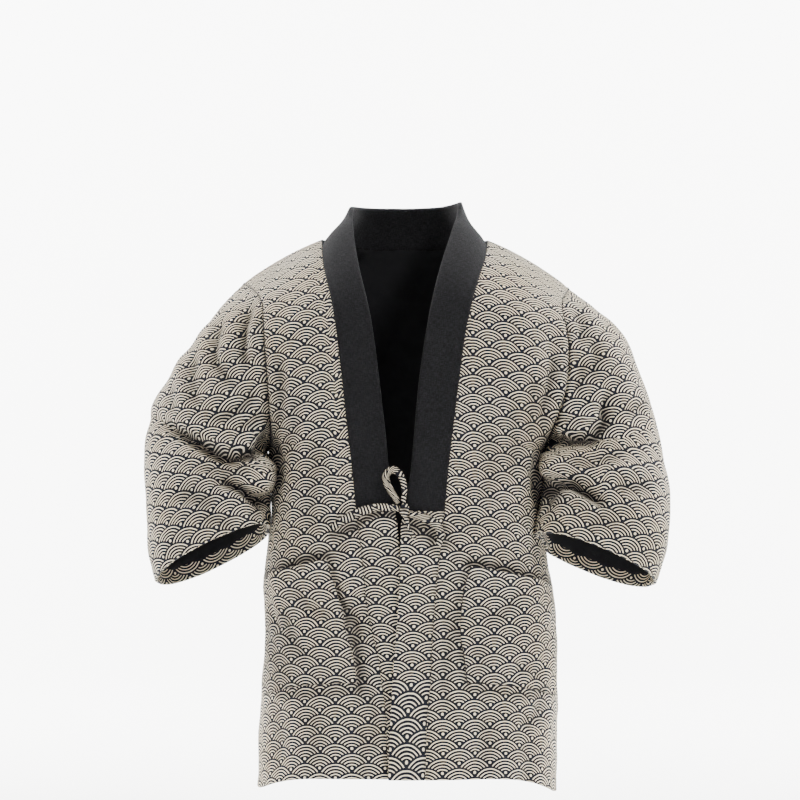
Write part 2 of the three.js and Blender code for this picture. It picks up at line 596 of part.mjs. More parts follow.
// Moves a grid along its normals by the folds that lie on it; the folds die out
// at the piece's edges, where it is sewn
function fold(name, grid, flip) {
  const rows = FOLDS.filter((f) => f.piece === name);
  if (!rows.length) return grid;
  const sums = faceNormals(grid, flip);
  const last = grid.length - 1;
  return grid.map((row, i) =>
    row.map((p, j) => {
      const rim = Math.min(i, last - i, j, row.length - 1 - j);
      const ease = smooth(0, 2, rim);
      let high = 0;
      for (const f of rows) {
        const dx = f.x1 - f.x0,
          dz = f.z1 - f.z0;
        const t = Math.min(
          1,
          Math.max(0, ((p.x - f.x0) * dx + (p.z - f.z0) * dz) / (dx * dx + dz * dz)),
        );
        const away = Math.hypot(p.x - f.x0 - t * dx, p.z - f.z0 - t * dz) / f.half;
        high += f.high * Math.exp(-away * away);
      }
      return p.clone().addScaledVector(sums[i][j].clone().normalize(), high * ease);
    }),
  );
}

// Closed wall between two layers of points that belong to the same grid
function closedWall(outer, inner, order, flip) {
  const rows = outer.length,
    columns = outer[0].length;
  const index = (i, j) => i * columns + j;
  const shift = rows * columns;
  const points = [...outer.flat(), ...inner.flat()];
  const faces = [];
  const face = (a, b, c) => faces.push(...(flip ? [a, c, b] : [a, b, c]));
  for (let i = 0; i + 1 < rows; i++)
    for (let j = 0; j + 1 < columns; j++) {
      const a = index(i, j),
        b = index(i, j + 1),
        c = index(i + 1, j + 1),
        d = index(i + 1, j);
      // the shorter diagonal, the same on both layers
      if (points[a].distanceTo(points[c]) <= points[b].distanceTo(points[d])) {
        face(a, c, b);
        face(a, d, c);
        face(a + shift, b + shift, c + shift);
        face(a + shift, c + shift, d + shift);
      } else {
        face(a, d, b);
        face(b, d, c);
        face(a + shift, b + shift, d + shift);
        face(b + shift, c + shift, d + shift);
      }
    }
  const rim = (p, q) => {
    // both pieces of a seam cut their rims on the same diagonal
    if (order[p] < order[q]) {
      face(q, p, q + shift);
      face(p, p + shift, q + shift);
    } else {
      face(q, p, p + shift);
      face(q, p + shift, q + shift);
    }
  };
  for (let j = 0; j + 1 < columns; j++) {
    rim(index(0, j + 1), index(0, j));
    rim(index(rows - 1, j), index(rows - 1, j + 1));
  }
  for (let i = 0; i + 1 < rows; i++) {
    rim(index(i, 0), index(i + 1, 0));
    rim(index(i + 1, columns - 1), index(i, columns - 1));
  }
  const geometry = new THREE.BufferGeometry();
  geometry.setAttribute(
    "position",
    new THREE.Float32BufferAttribute(points.flatMap((p) => [p.x, p.y, p.z]), 3),
  );
  geometry.setIndex(faces);
  geometry.computeVertexNormals();
  return geometry;
}

const printCloth = new THREE.MeshStandardMaterial({
  name: "print_cloth",
  color: PRINT_COLOUR,
  roughness: 0.95,
});
const blackCloth = new THREE.MeshStandardMaterial({
  name: "black_cloth",
  color: BLACK_COLOUR,
  roughness: 0.95,
});

const group = new THREE.Group();
function addMesh(name, geometry, material) {
  const mesh = new THREE.Mesh(geometry, material);
  mesh.name = name;
  group.add(mesh);
}

// The sewn shell: every piece with the place its inside faces
const bodyAxis = (p) => new THREE.Vector3(0, 0, p.z);
const sleeveAxis = (side) => (p) => new THREE.Vector3(side * 240, -20, p.z);
const shell = [
  { name: "front_left", grid: frontGrid(-1), inside: bodyAxis },
  { name: "front_right", grid: frontGrid(1), inside: bodyAxis },
  { name: "back", grid: backGrid(), inside: bodyAxis },
  { name: "sleeve_left_front", grid: sleeveGrid(-1, -1), inside: sleeveAxis(-1) },
  { name: "sleeve_left_back", grid: sleeveGrid(-1, 1), inside: sleeveAxis(-1) },
  { name: "sleeve_right_front", grid: sleeveGrid(1, -1), inside: sleeveAxis(1) },
  { name: "sleeve_right_back", grid: sleeveGrid(1, 1), inside: sleeveAxis(1) },
  { name: "band_left", grid: bandGrid(-1), inside: bodyAxis, wall: BAND_WALL, proud: STRIP_PROUD },
  { name: "band_right", grid: bandGrid(1), inside: bodyAxis, wall: BAND_WALL, proud: STRIP_PROUD },
  {
    name: "collar",
    grid: collarGrid(),
    inside: bodyAxis,
    wall: COLLAR_WALL,
    proud: STRIP_PROUD,
    material: blackCloth,
  },
];

const shared = new Map();
for (const piece of shell) {
  piece.flip = facesIn(piece.grid, piece.inside);
  piece.grid = fold(piece.name, piece.grid, piece.flip);
  piece.sums = faceNormals(piece.grid, piece.flip);
  piece.grid.forEach((row, i) =>
    row.forEach((p, j) => {
      const key = keyOf(p);
      if (!shared.has(key)) shared.set(key, new THREE.Vector3());
      shared.get(key).add(piece.sums[i][j].clone().normalize());
    }),
  );
}

// Half the seam gap is taken off every edge, square to the seam and to the wall
function insets(grid, normals) {
  const rows = grid.length,
    columns = grid[0].length;
  return grid.map((row, i) =>
    row.map((p, j) => {
      const move = new THREE.Vector3();
      const take = (along0, along1, towards) => {
        const tangent = along1.clone().sub(along0).normalize();
        const way = tangent.cross(normals[i][j]).normalize();
        if (way.dot(towards.clone().sub(p)) < 0) way.negate();
        move.addScaledVector(way, SEAM_GAP / 2);
      };
      const left = grid[i][Math.max(0, j - 1)],
        right = grid[i][Math.min(columns - 1, j + 1)],
        low = grid[Math.max(0, i - 1)][j],
        high = grid[Math.min(rows - 1, i + 1)][j];
      if (i === 0) take(left, right, high);
      if (i === rows - 1) take(left, right, low);
      if (j === 0) take(low, high, right);
      if (j === columns - 1) take(low, high, left);
      return move;
    }),
  );
}

for (const piece of shell) {
  const wall = piece.wall ?? WALL,
    proud = piece.proud ?? 0;
  const normals = piece.grid.map((row) =>
    row.map((p) => shared.get(keyOf(p)).clone().normalize()),
  );
  const moves = insets(piece.grid, normals);
  const layer = (high) =>
    piece.grid.map((row, i) =>
      row.map((p, j) => p.clone().addScaledVector(normals[i][j], high).add(moves[i][j])),
    );
  piece.normals = normals;
  const order = piece.grid.flat().map((p) => p.z + 0.37 * p.x + 0.11 * p.y);
  addMesh(
    piece.name,
    closedWall(layer(proud), layer(proud - wall), order, piece.flip),
    piece.material ?? printCloth,
  );
}

// Patch pockets: made of the front's own points between the pocket's lines,
// moved out; the mouth stands off the cloth and the other three edges lie on it
for (const { name, on, mouthInner, mouthOuter } of POCKETS) {
  const panel = shell.find((piece) => piece.name === on);
  const rowHeight = (POCKET_MOUTH - POCKET_FOOT) / (mouthRow - footRow);
  const outer = [],
    inner = [];
  for (let i = footRow; i <= mouthRow; i++) {
    const up = (i - footRow) / (mouthRow - footRow);
    const out = [],
      lie = [];
    for (let k = 0; k <= POCKET_COLUMNS; k++) {
      const across = k / POCKET_COLUMNS;
      const side = Math.sin(Math.PI * across);
      const off =
        POCKET_CLEAR +
        POCKET_PUFF * side * Math.sin(Math.PI * Math.min(1, up * 1.2)) +
        POCKET_GAPE * side * up ** 3;
      // the mouth's slope moves each row towards the one above or below it
      const slope = (mouthInner + (mouthOuter - mouthInner) * across) * up;
      const next = i + Math.sign(slope);
      const share = Math.abs(slope) / rowHeight;
      const between = (points) =>
        points[i][SEAM_TO_POCKET + k].clone().lerp(points[next][SEAM_TO_POCKET + k], share);
      const p = between(panel.grid),
        n = between(panel.normals).normalize();
      lie.push(p.clone().addScaledVector(n, off));
      out.push(p.clone().addScaledVector(n, off + POCKET_WALL));
    }
    inner.push(lie);
    outer.push(out);
  }
  addMesh(name, closedWall(outer, inner, outer.flat().map((p) => p.z), panel.flip), printCloth);
}

// Place at a distance off collar and bands, near the front's middle line
function offFront({ x, z, off }) {
  const h = column(FRONT_MIDDLE, "z", "h", z);
  return new THREE.Vector3(x, frontPoint(Math.sign(x), x, h).y - STRIP_PROUD - off, z);
}

// Ties: flat tapes swept along their stations
function tape(stations) {
  const centres = stations.map(offFront);
  const curve = new THREE.CatmullRomCurve3(centres, false, "centripetal");
  const steps = (stations.length - 1) * 3;
  const faces = [[], [], [], []];
  for (let i = 0; i <= steps; i++) {
    const u = i / 3;
    const k = Math.min(stations.length - 2, Math.floor(u));
    const t = u - k;
    const centre = curve.getPoint(i / steps);
    const along = curve.getTangent(i / steps);
    const wide = stations[k].wide * (1 - t) + stations[k + 1].wide * t;
    const turn = THREE.MathUtils.degToRad(
      stations[k].turn * (1 - t) + stations[k + 1].turn * t,
    );
    const face = new THREE.Vector3(0, -1, 0);
    face.addScaledVector(along, -face.dot(along)).normalize();
    face.applyAxisAngle(along, turn);
    const across = face.clone().cross(along).normalize();
    const corner = (a, b) =>
      centre
        .clone()
        .addScaledVector(across, (a * wide) / 2)
        .addScaledVector(face, (b * TAPE_WALL) / 2);
    faces[0].push(corner(-1, 1));
    faces[1].push(corner(1, 1));
    faces[2].push(corner(1, -1));
    faces[3].push(corner(-1, -1));
  }
  const outer = faces[0].map((p, i) => [p, faces[1][i]]);
  const inner = faces[3].map((p, i) => [p, faces[2][i]]);
  return closedWall(outer, inner, outer.flat().map((p) => p.z), false);
}
for (const [name, stations] of Object.entries(TAPES)) addMesh(name, tape(stations), printCloth);

const knot = new THREE.SphereGeometry(0.5, 12, 8);
knot.scale(KNOT.wide, KNOT.deep, KNOT.high);
knot.translate(...offFront(KNOT));
addMesh("tie_knot", knot, printCloth);

export default group;
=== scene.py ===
import math

import bmesh
import bpy
import numpy as np
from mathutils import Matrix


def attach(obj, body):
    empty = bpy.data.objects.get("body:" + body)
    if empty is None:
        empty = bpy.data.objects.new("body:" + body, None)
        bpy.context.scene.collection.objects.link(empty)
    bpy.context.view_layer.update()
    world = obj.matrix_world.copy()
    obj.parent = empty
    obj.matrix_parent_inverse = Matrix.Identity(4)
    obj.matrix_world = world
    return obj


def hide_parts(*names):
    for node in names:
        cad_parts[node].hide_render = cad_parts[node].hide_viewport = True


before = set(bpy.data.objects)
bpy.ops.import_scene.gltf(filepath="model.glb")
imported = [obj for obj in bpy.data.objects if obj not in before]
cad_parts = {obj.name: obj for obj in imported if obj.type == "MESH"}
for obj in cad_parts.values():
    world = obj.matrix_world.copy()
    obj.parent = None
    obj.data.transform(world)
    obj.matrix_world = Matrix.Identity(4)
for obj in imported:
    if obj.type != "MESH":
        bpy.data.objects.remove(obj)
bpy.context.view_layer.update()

# A short padded jacket in printed cotton with a black collar, worn and tied.
# Sizes are millimetres up to the last step, which writes metres.

# Camera: the lens sees 2308 pixels of focal length on an image 800 wide
CAMERA_AT = (-0.0065, -3.0, -0.212)
SENSOR = 36.0
FOCAL_PIXELS = 2308
IMAGE_WIDE = 800

camera_data = bpy.data.cameras.new("camera")
camera_data.sensor_width = SENSOR
camera_data.lens = SENSOR * FOCAL_PIXELS / IMAGE_WIDE
camera = bpy.data.objects.new("camera", camera_data)
camera.location = CAMERA_AT
camera.rotation_euler = (math.radians(90), 0, 0)
bpy.context.scene.collection.objects.link(camera)
bpy.context.scene.camera = camera

# Walls, gaps and lines, as in the solids
WALL = 4.0
COLLAR_WALL = 6.0
BAND_WALL = 5.0
STRIP_PROUD = 1.0
POCKET_WALL = 3.0
POCKET_GAPE = 11.0
POCKET_PUFF = 3.0
POCKET_CLEAR = 0.5
LAP_UNDER = 4.5
LAP_OVER = 3.0
TAPE_WALL = 2.2
NECK_HALF = 108.0
NECK_DROP = 42.0
SEAM_GAP = 0.3
POCKET_FOOT = 121.0
POCKET_MOUTH = 270.0
TIE = 334.0
ARMPIT = 440.0
SHOULDER = 712.0
SLEEVE_SQUARE = 2.2
SLEEVE_CLEAR = -0.6
UNDERARM_Z = -277.0

# The soft roll on a sleeve's inner side: its height, and its middle and half width
# across the sleeve (as a share) and along it (in rows of the sleeve's table)
ROLL = 24.0
ROLL_ACROSS, ROLL_ACROSS_HALF = 0.18, 0.13
ROLL_ALONG, ROLL_ALONG_HALF = 3.2, 2.6

# How far the back's top edge runs up into the collar, and the back sleeve halves'
# first row under the back
NECK_TUCK = 4.0
SHOULDER_TUCK = 2.5

# Rounding of the cloth's turned edges
PANEL_ROUND = 1.3
BAND_ROUND = 1.8
COLLAR_ROUND = 2.2
POCKET_ROUND = 1.1
TAPE_ROUND = 0.8

# Where a pocket's outer edge lies, in radians round the body
POCKET_SIDE_TURN = 1.27

# Fineness of the cloth, as steps of the grids
BODY_ROWS = 150
FRONT_COLUMNS = 46
BACK_HALF_COLUMNS = 34
NAPE_COLUMNS = 30
SLEEVE_ROWS = 100
SLEEVE_COLUMNS = 76
STRIP_COLUMNS = 10
POCKET_ROWS = 44
POCKET_COLUMNS = 40


def table(text):
    """A table with named columns: a line of names, then lines of numbers."""
    names, *rows = [line.split() for line in text.strip().splitlines()]
    return {name: np.array([float(row[k]) for row in rows]) for k, name in enumerate(names)}


def by_piece(text):
    """Lines of numbers, each below the name of the piece that it belongs to."""
    pieces = {}
    for line in text.strip().splitlines():
        if line[0].isalpha():
            rows = pieces.setdefault(line, [])
        else:
            rows.append([float(value) for value in line.split()])
    return pieces


FRONT_MIDDLE = table("""
h z out square late
0 -682 148 2.6 6
115 -568 146 2.6 4
209 -474 143.5 2.6 2.2
270 -413 141 2.6 2
334 -349 138 2.6 2.2
385 -303 135 2.6 2.6
440 -262 131 2.6 3
486 -222 127 2.6 3
515 -194 124 2.5 3
550 -158 119 2.4 2.5
585 -122 111.5 2.3 2.5
618 -90 101 2.2 2.5
648 -60 86 2.1 2.2
672 -36 68 2 2
692 -12 43 2 2
712 17.6 -5 2 2
""")
BACK_MIDDLE = table("""
h z out square late
0 -714 130 2.4 3
115 -600 127 2.4 3
209 -505 123 2.4 3
334 -381 118 2.4 3
440 -277 121 2.4 3
486 -234 124 2.4 2.5
515 -205 126 2.4 2.5
550 -169 127 2.3 2.3
585 -132 126 2.3 2.2
618 -96 122 2.2 2
648 -56 113 2.1 2
670 -12 98 2 2
692 6 56 2 2
712 17.6 5 2 2
""")
SIDE_SEAM = table("""
h left_x left_z right_x right_z
0 190.5 -711 196 -716
115 186 -596 197 -598
209 181 -501 196 -502
256 184 -453 191 -457
310 178 -399 182 -402
368 173 -344 176 -345
440 176 -277 179 -277
""")
ARMHOLE_FRONT = table("""
h left_x left_y left_z right_x right_y right_z
440 176 0 -277 179 0 -277
462 172.5 -36 -265 181 -38 -266
486 171 -66 -246 188 -65 -248
515 172 -86 -217 199 -82 -218
550 174 -94 -181 207 -88 -183
585 177 -93 -146 207 -86 -149
618 179 -85 -114 204 -78 -119
648 181 -71 -91 200 -65 -95
672 188 -51 -77 202 -46 -82
692 199 -24 -67 208 -21 -74
712 211 5 -60 214 5 -66
""")
ARMHOLE_BACK = table("""
h left_x left_y left_z right_x right_y right_z
440 176 0 -277 179 0 -277
462 178 34 -267 181 34 -267
486 181 60 -249 184 60 -250
515 184 78 -221 188 78 -223
550 187 87 -185 192 87 -188
585 190 86 -149 196 86 -153
618 194 78 -119 200 78 -123
648 198 65 -96 204 65 -101
672 203 47 -80 208 47 -86
692 207 26 -69 211 26 -75
712 211 5 -60 214 5 -66
""")
FRONT_LINES = table("""
h left_seam right_seam left_pocket right_pocket
0 -21 24.5 -55 84
84 -24 27 -58 80
121 -29 31 -61.5 76
159 -35 32.5 -68 71
187 -41 34 -75 68
226 -48.5 37 -84 70
270 -52.5 41.5 -97 80
334 -60.5 48.5 -103 92
440 -70 57.5 -107 98
515 -77.5 66 -110 104
585 -86 76 -116 112
618 -91 83 -119 118
648 -97 90.5 -123 122
672 -102 97 -127 127
692 -106 103.5 -131 131
712 -108 108 -136 136
""")
FREE_EDGE = table("""
h left_x right_x rise lift
0 25 -21.4 0 0
121 17 -16 0 0
209 4 -9 0 0
270 -5 -6.5 0 0
312 -9.5 -5.5 0 0
334 -12.5 -1.5 0 0
385 -20 6.5 0 0
440 -24 10.5 2 0
515 -32 17 5 0
585 -42 28 8 2
618 -49 35 11 5
648 -57 43 14 8
672 -62 50.5 17 11
692 -66 58.5 19 10
712 -69 67 21 -6
""")
NAPE_EDGE = table("""
turn x y z
0 -69 -1 21
0.125 -72 27 42
0.25 -66 54 44
0.375 -42 76 44
0.5 0 84 44
0.625 42 76 45
0.75 67 54 48
0.875 74 27 49
1 67 -1 21
""")
SLEEVE_LEFT = table("""
s out_x out_y out_z in_x in_y in_z front back raised
0 -211 5 -60 -176 0 -277 94 88 0
1 -243 9 -94 -176 -9 -281 93 87 0.02
2 -276 12 -141 -174 -20 -287 88 83 0.06
3 -305 12 -189 -172 -30 -294 84 78 0.1
4 -329 8 -232 -170 -40 -303 80 74 0.14
5 -334 -2 -290 -170 -48 -316 77 70 0.2
6 -330 -18 -349 -172 -53 -333 73 66 0.26
7 -326 -36 -410 -172 -56 -352 68 62 0.32
8 -317 -48 -447 -172 -57 -373 62 60 0.36
""")
SLEEVE_RIGHT = table("""
s out_x out_y out_z in_x in_y in_z front back raised
0 214 5 -66 179 0 -277 94 88 0
1 243 9 -91 182 -10 -281 93 87 0.02
2 283 12 -130 183 -21 -287 88 83 0.06
3 304 12 -187 183 -33 -294 84 78 0.1
4 318 8 -240 181 -46 -304 80 74 0.14
5 329 -3 -300 178 -58 -319 77 70 0.2
6 336 -20 -350 174 -70 -338 73 66 0.26
7 331 -38 -404 169 -80 -359 68 62 0.32
8 315 -50 -450 163 -87 -381 62 60 0.36
""")

# Large folds of the solids: half the width, the height above the cloth (a trough
# is negative), and both ends of a straight line seen from the front or the back
FOLDS = by_piece("""
sleeve_left_front
17 -7 -185 -268 -228 -290
17 -7 -228 -290 -316 -236
20 6 -190 -305 -250 -322
15 -7 -172 -350 -240 -316
17 -5 -205 -85 -212 -160
18 -5 -250 -115 -258 -190
sleeve_right_front
17 -6 200 -262 240 -262
17 -7 240 -262 264 -190
20 6 200 -296 256 -292
16 -7 176 -345 206 -318
16 -7 206 -318 262 -350
sleeve_left_back
20 -7 -200 -285 -300 -262
18 -5 -195 -330 -300 -330
20 -5 -230 -120 -236 -196
sleeve_right_back
20 -7 204 -285 305 -270
18 -5 200 -336 300 -338
20 -5 236 -122 244 -200
front_left
18 -4 -60 -470 -50 -620
24 4 -132 -120 -128 -380
front_right
17 -6 188 -140 172 -230
24 5 146 -110 152 -330
back
28 -6 -124 -160 -150 -430
28 -6 126 -160 152 -440
32 -5 -44 -400 -56 -700
32 -5 66 -430 60 -700
""")

# Creases of the cloth: half the width of the trough, its height, the
# share of that in the ridge beside it (on the left of the line when the sign is
# plus, on the right when minus), and the x and z of each place on a bent line.
# Each sleeve front has its elbow fold, the roll under it and the lower trough
# first, and the swell of its inner side last.
CREASES = by_piece("""
sleeve_left_front
7 -11.6 -0.5 -170 -252 -188 -279 -216 -285 -233 -280 -257 -268 -285 -254 -322 -236
6 5.5 0 -178 -262 -199 -270 -224 -268 -244 -258
7 -12.6 0.6 -168 -343 -184 -340 -204 -324 -229 -314 -247 -314
8 -3.8 0.4 -188 -298 -215 -303 -244 -299 -276 -290
12 -4.6 0.4 -236 -345 -262 -334 -292 -330
10 -3.8 0.4 -210 -372 -238 -362 -262 -360
8 -7.6 0.5 -196 -80 -206 -114 -207 -147 -199 -178
8 -6.7 -0.5 -235 -98 -246 -130 -246 -162 -226 -186 -206 -202
9 -5.5 -0.4 -268 -146 -276 -178 -270 -206 -252 -228
7 -5.9 0.5 -186 -196 -202 -219 -226 -233 -250 -238
6 -4.6 0.5 -182 -226 -196 -243 -214 -250
8 -3.4 0.4 -296 -188 -300 -212 -292 -232
13 7 0 -184 -292 -178 -312 -182 -334
sleeve_right_front
7 -10.5 0.5 170 -254 190 -262 207 -262 236 -260 254 -240 253 -220 261 -194
8 5.5 0 196 -226 220 -232 243 -239
7 -13.4 -0.6 172 -338 188 -317 207 -314 236 -332 258 -348
9 -4.6 -0.4 196 -286 226 -292 258 -286 288 -272
7 -5 0.5 214 -206 224 -184 226 -158
8 -5 -0.4 236 -190 244 -160 240 -130
9 -4.2 0.4 276 -232 296 -222 312 -222
11 -4.2 0.4 262 -318 288 -322 314 -316
10 -3.8 0.4 222 -372 246 -362 272 -368
8 -4.6 0.4 216 -92 226 -118 222 -146
13 7 0 186 -276 182 -296 184 -314
sleeve_left_back
9 -9.5 0.5 -182 -276 -216 -286 -258 -276 -306 -254
9 -7.4 -0.5 -186 -318 -220 -312 -258 -318
9 -6.3 0.4 -200 -118 -208 -160 -200 -204
10 -5.5 -0.4 -252 -150 -262 -190 -250 -226
11 -4.6 0.4 -204 -356 -240 -350 -276 -358
sleeve_right_back
9 -9.5 -0.5 184 -278 222 -288 262 -280 304 -262
9 -7.4 0.5 188 -322 224 -316 266 -324
9 -6.3 -0.4 206 -124 214 -166 204 -208
10 -5.5 0.4 262 -150 272 -192 260 -230
11 -4.6 0.4 206 -362 244 -354 280 -362
front_left
9 -5.1 0.5 -160 -150 -156 -190 -160 -232 -168 -262
10 -3.2 0.4 -134 -196 -140 -240 -152 -286
8 -4.2 -0.5 -168 -256 -158 -292 -162 -332
12 -2.9 0.4 -116 -250 -112 -300 -120 -352 -116 -396
8 -2.6 0.5 -66 -352 -86 -362 -112 -364
8 -2.9 -0.5 -62 -366 -78 -388 -88 -418
7 -6.7 -0.6 -92 -424 -84 -462 -62 -490 -60 -522 -54 -560 -60 -600
9 -3.2 0.4 -46 -560 -38 -610 -40 -660
8 -3.5 0.5 -172 -420 -166 -470 -150 -516
14 -2.9 0.4 -120 -590 -112 -632 -116 -676
12 -2.9 -0.4 -166 -592 -160 -640 -166 -690
front_right
8 -6.4 -0.5 189 -146 190 -172 178 -218 174 -256
9 -3.8 0.5 160 -176 162 -214 156 -262
12 -2.9 -0.4 132 -206 138 -262 132 -318
8 -4.2 0.5 168 -270 160 -306 164 -346
14 -2.6 0.4 104 -240 108 -300 100 -360
8 -2.6 -0.5 56 -356 78 -366 102 -364
8 -2.9 0.5 52 -370 62 -396 64 -430
9 -3.8 0.5 50 -452 56 -500 48 -560 52 -612
9 -4.2 0.5 178 -588 164 -612 140 -622
13 -2.9 -0.4 96 -600 102 -640 98 -680
12 -2.6 0.4 150 -630 156 -668 150 -706
back
10 -4.2 0.5 -152 -150 -148 -200 -158 -262
10 -4.2 -0.5 154 -150 150 -204 160 -266
15 -3.6 0.4 -96 -110 -106 -190 -100 -280 -112 -370
15 -3.6 -0.4 88 -120 98 -200 92 -300 104 -380
18 -2.8 0.4 -10 -180 -16 -280 -6 -400
16 -2.8 0.3 -60 -330 0 -352 58 -338
12 -2.8 0.4 -150 -360 -110 -384 -60 -388
12 -2.8 -0.4 154 -366 112 -392 60 -396
16 -3.4 0.4 -92 -460 -98 -560 -90 -690
18 -3.6 -0.4 14 -450 20 -560 14 -700
16 -3.4 0.4 112 -470 120 -580 114 -700
14 -2.8 -0.4 -158 -470 -150 -580 -160 -690
pocket_left
9 -3.4 0.4 -146 -440 -120 -470 -84 -484
9 -3.4 -0.4 -160 -462 -142 -510 -118 -548
10 -2 0.4 -84 -548 -104 -566 -132 -570
pocket_right
9 -3.1 -0.4 146 -446 126 -474 96 -486
9 -3.1 0.4 176 -566 158 -548 132 -544
11 -2 0.4 84 -500 96 -540 90 -570
""")

# Places in another piece's shade: half the width, how dark, and a bent line
SHADES = by_piece("""
front_left
16 0.85 -176 -262 -174 -300 -176 -346
6 1 -180 -436 -147 -421 -125 -411 -96 -404
6 0.9 -57 -367 -73 -374 -90 -380
4 0.7 -93 -412 -80 -456 -71 -495 -60 -540 -57 -570
4 0.6 -62 -572 -110 -576 -162 -584
6 0.35 -56 -620 -52 -660 -48 -700
front_right
14 0.8 180 -262 178 -300 176 -350
6 1 79 -413 110 -419 147 -431 184 -445
4 0.6 77 -415 67 -456 65 -495 68 -523 73 -562
4 0.6 76 -570 120 -575 172 -586
5 0.6 48 -372 50 -392
band_left
4.5 1 -9 -353 -40 -355 -57 -366
band_right
8 0.9 4 -366 16 -372 30 -378
5 0.7 34 -384 32 -396
pocket_left
22 0.4 -170 -500 -160 -560
pocket_right
6 0.5 176 -575 140 -590 100 -594
sleeve_left_front
8 0.6 -166 -300 -172 -340 -190 -352
7 0.5 -196 -276 -180 -262 -174 -240
6 0.45 -178 -110 -174 -170 -176 -235
sleeve_right_front
9 0.6 172 -306 180 -340 196 -330
5 0.45 204 -118 206 -170 192 -240
""")

# Patch pockets, left (-1) and right (1): how far the inner and the outer end of
# the mouth lie above the mouth's row
POCKETS = {-1: (11.0, -4.0), 1: (1.0, -8.0)}

# Ties: stations along each tape, its centre, how far that lies off the front,
# the tape's width, and how far its face is turned about its length (degrees)
TAPES = {
    "tie_left": table("""
x z off wide turn
-91 -371 4 9 0
-76 -361 5 11 0
-59 -352 5 12 0
-40 -346 4 11 4
-22 -345 4.5 10 8
-6.9 -347 5.2 8 10
"""),
    "tie_right": table("""
x z off wide turn
41 -392 4 8 0
44 -378 5 10 0
38 -366 5 12 0
24 -358 5 12 0
4.9 -353 5.2 9 0
"""),
    "tie_loop": table("""
x z off wide turn
-2 -338.6 8 7 20
-1 -322 10 8 15
-5 -306 12 9 10
-15 -298 12 10 0
-24 -306 10 10 -10
-20 -320 7 10 -15
-8 -339.4 4 8 -10
"""),
    "tie_tail": table("""
x z off wide turn
0 -357.3 5.2 6 40
5 -371 7 6 60
12 -384 7 6 50
"""),
}
KNOT = {"x": -1.0, "z": -348.0, "off": 5.2, "wide": 11.0, "deep": 9.0, "high": 18.0}


def column(rows, key, name, at):
    """Smooth value of one column at places in a table, without overshoot."""
    xs = rows[key].astype(float)
    ys = rows[name].astype(float)
    slope = np.diff(ys) / np.diff(xs)
    tangent = np.zeros(len(xs))
    tangent[0] = slope[0]
    tangent[-1] = slope[-1]
    before = slope[:-1]
    after = slope[1:]
    same = before * after > 0
    total = np.where(same, before + after, 1.0)
    tangent[1:-1] = np.where(same, 2 * before * after / total, 0.0)
    at = np.clip(np.asarray(at, dtype=float), xs[0], xs[-1])
    i = np.clip(np.searchsorted(xs, at, side="right") - 1, 0, len(xs) - 2)
    span = xs[i + 1] - xs[i]
    t = (at - xs[i]) / span
    u = 1 - t
    value = u * u * (1 + 2 * t) * ys[i] + t * t * (1 + 2 * u) * ys[i + 1]
    return value + span * t * u * (u * tangent[i] - t * tangent[i + 1])


def smooth(low, high, x):
    t = np.clip((np.asarray(x, dtype=float) - low) / (high - low), 0, 1)
    return t * t * (3 - 2 * t)


def bell(x, half):
    """1 where x is zero, falling smoothly to almost nothing at twice the half width."""
    return np.exp(-((x / half) ** 2))


def unit(v):
    return v / np.linalg.norm(v, axis=-1, keepdims=True)


def side_name(side):
    return "left" if side < 0 else "right"


def panel_edge(armhole, side, h):
    """x, y and z where a panel ends at each height: side seam or armhole."""
    name = side_name(side)
    low = h <= ARMPIT
    x = np.where(low, column(SIDE_SEAM, "h", name + "_x", h), column(armhole, "h", name + "_x", h))
    y = np.where(low, 0.0, column(armhole, "h", name + "_y", h))
    z = np.where(low, column(SIDE_SEAM, "h", name + "_z", h), column(armhole, "h", name + "_z", h))
    return x, y, z


def body_point(middle, armhole, facing, side, x, h):
    """Point of the front (facing -1) or the back (facing 1)."""
    edge_x, edge_y, edge_z = panel_edge(armhole, side, h)
    square = column(middle, "h", "square", h)
    share = np.minimum(1, np.abs(x) / edge_x)
    bow = np.power(np.maximum(0, 1 - np.power(share, square)), 1 / square)
    out = column(middle, "h", "out", h)
    z = column(middle, "h", "z", h)
    late = column(middle, "h", "late", h)
    y = edge_y + (facing * out - edge_y) * bow
    return np.stack([x + 0 * h, y, z + (edge_z - z) * np.power(share, late)], axis=-1)


def front_point(side, x, h):
    p = body_point(FRONT_MIDDLE, ARMHOLE_FRONT, -1, side, x, h)
    near = 1 - smooth(35, 110, np.abs(x))
    low = 1 - smooth(296, TIE, h)
    p[..., 1] += (LAP_UNDER if side < 0 else -LAP_OVER) * near * low
    return p


def back_point(x, h):
    left = body_point(BACK_MIDDLE, ARMHOLE_BACK, 1, -1, x, h)
    right = body_point(BACK_MIDDLE, ARMHOLE_BACK, 1, 1, x, h)
    return np.where((x < 0)[..., None], left, right)


def columns_at(share, inner, edge_x, square, h):
    """x of a column, from the inner line (0) to the edge (1), at each height."""
    inner = np.abs(inner)
    first = np.arcsin(np.minimum(1, np.power(inner / edge_x, square / 2)))
    turn = first + (math.pi / 2 - first) * share
    low = edge_x * np.power(np.sin(turn), 2 / square)
    high = inner + (edge_x - inner) * share
    return low + (high - low) * smooth(TIE, ARMPIT + 30, h)


def body_heights(top):
    return np.linspace(0, top, BODY_ROWS + 1)


def running(points, axis):
    """Length along a grid, from its first row or column."""
    step = np.linalg.norm(np.diff(points, axis=axis), axis=-1)
    start = np.zeros_like(np.take(step, [0], axis=axis))
    return np.concatenate([start, np.cumsum(step, axis=axis)], axis=axis)


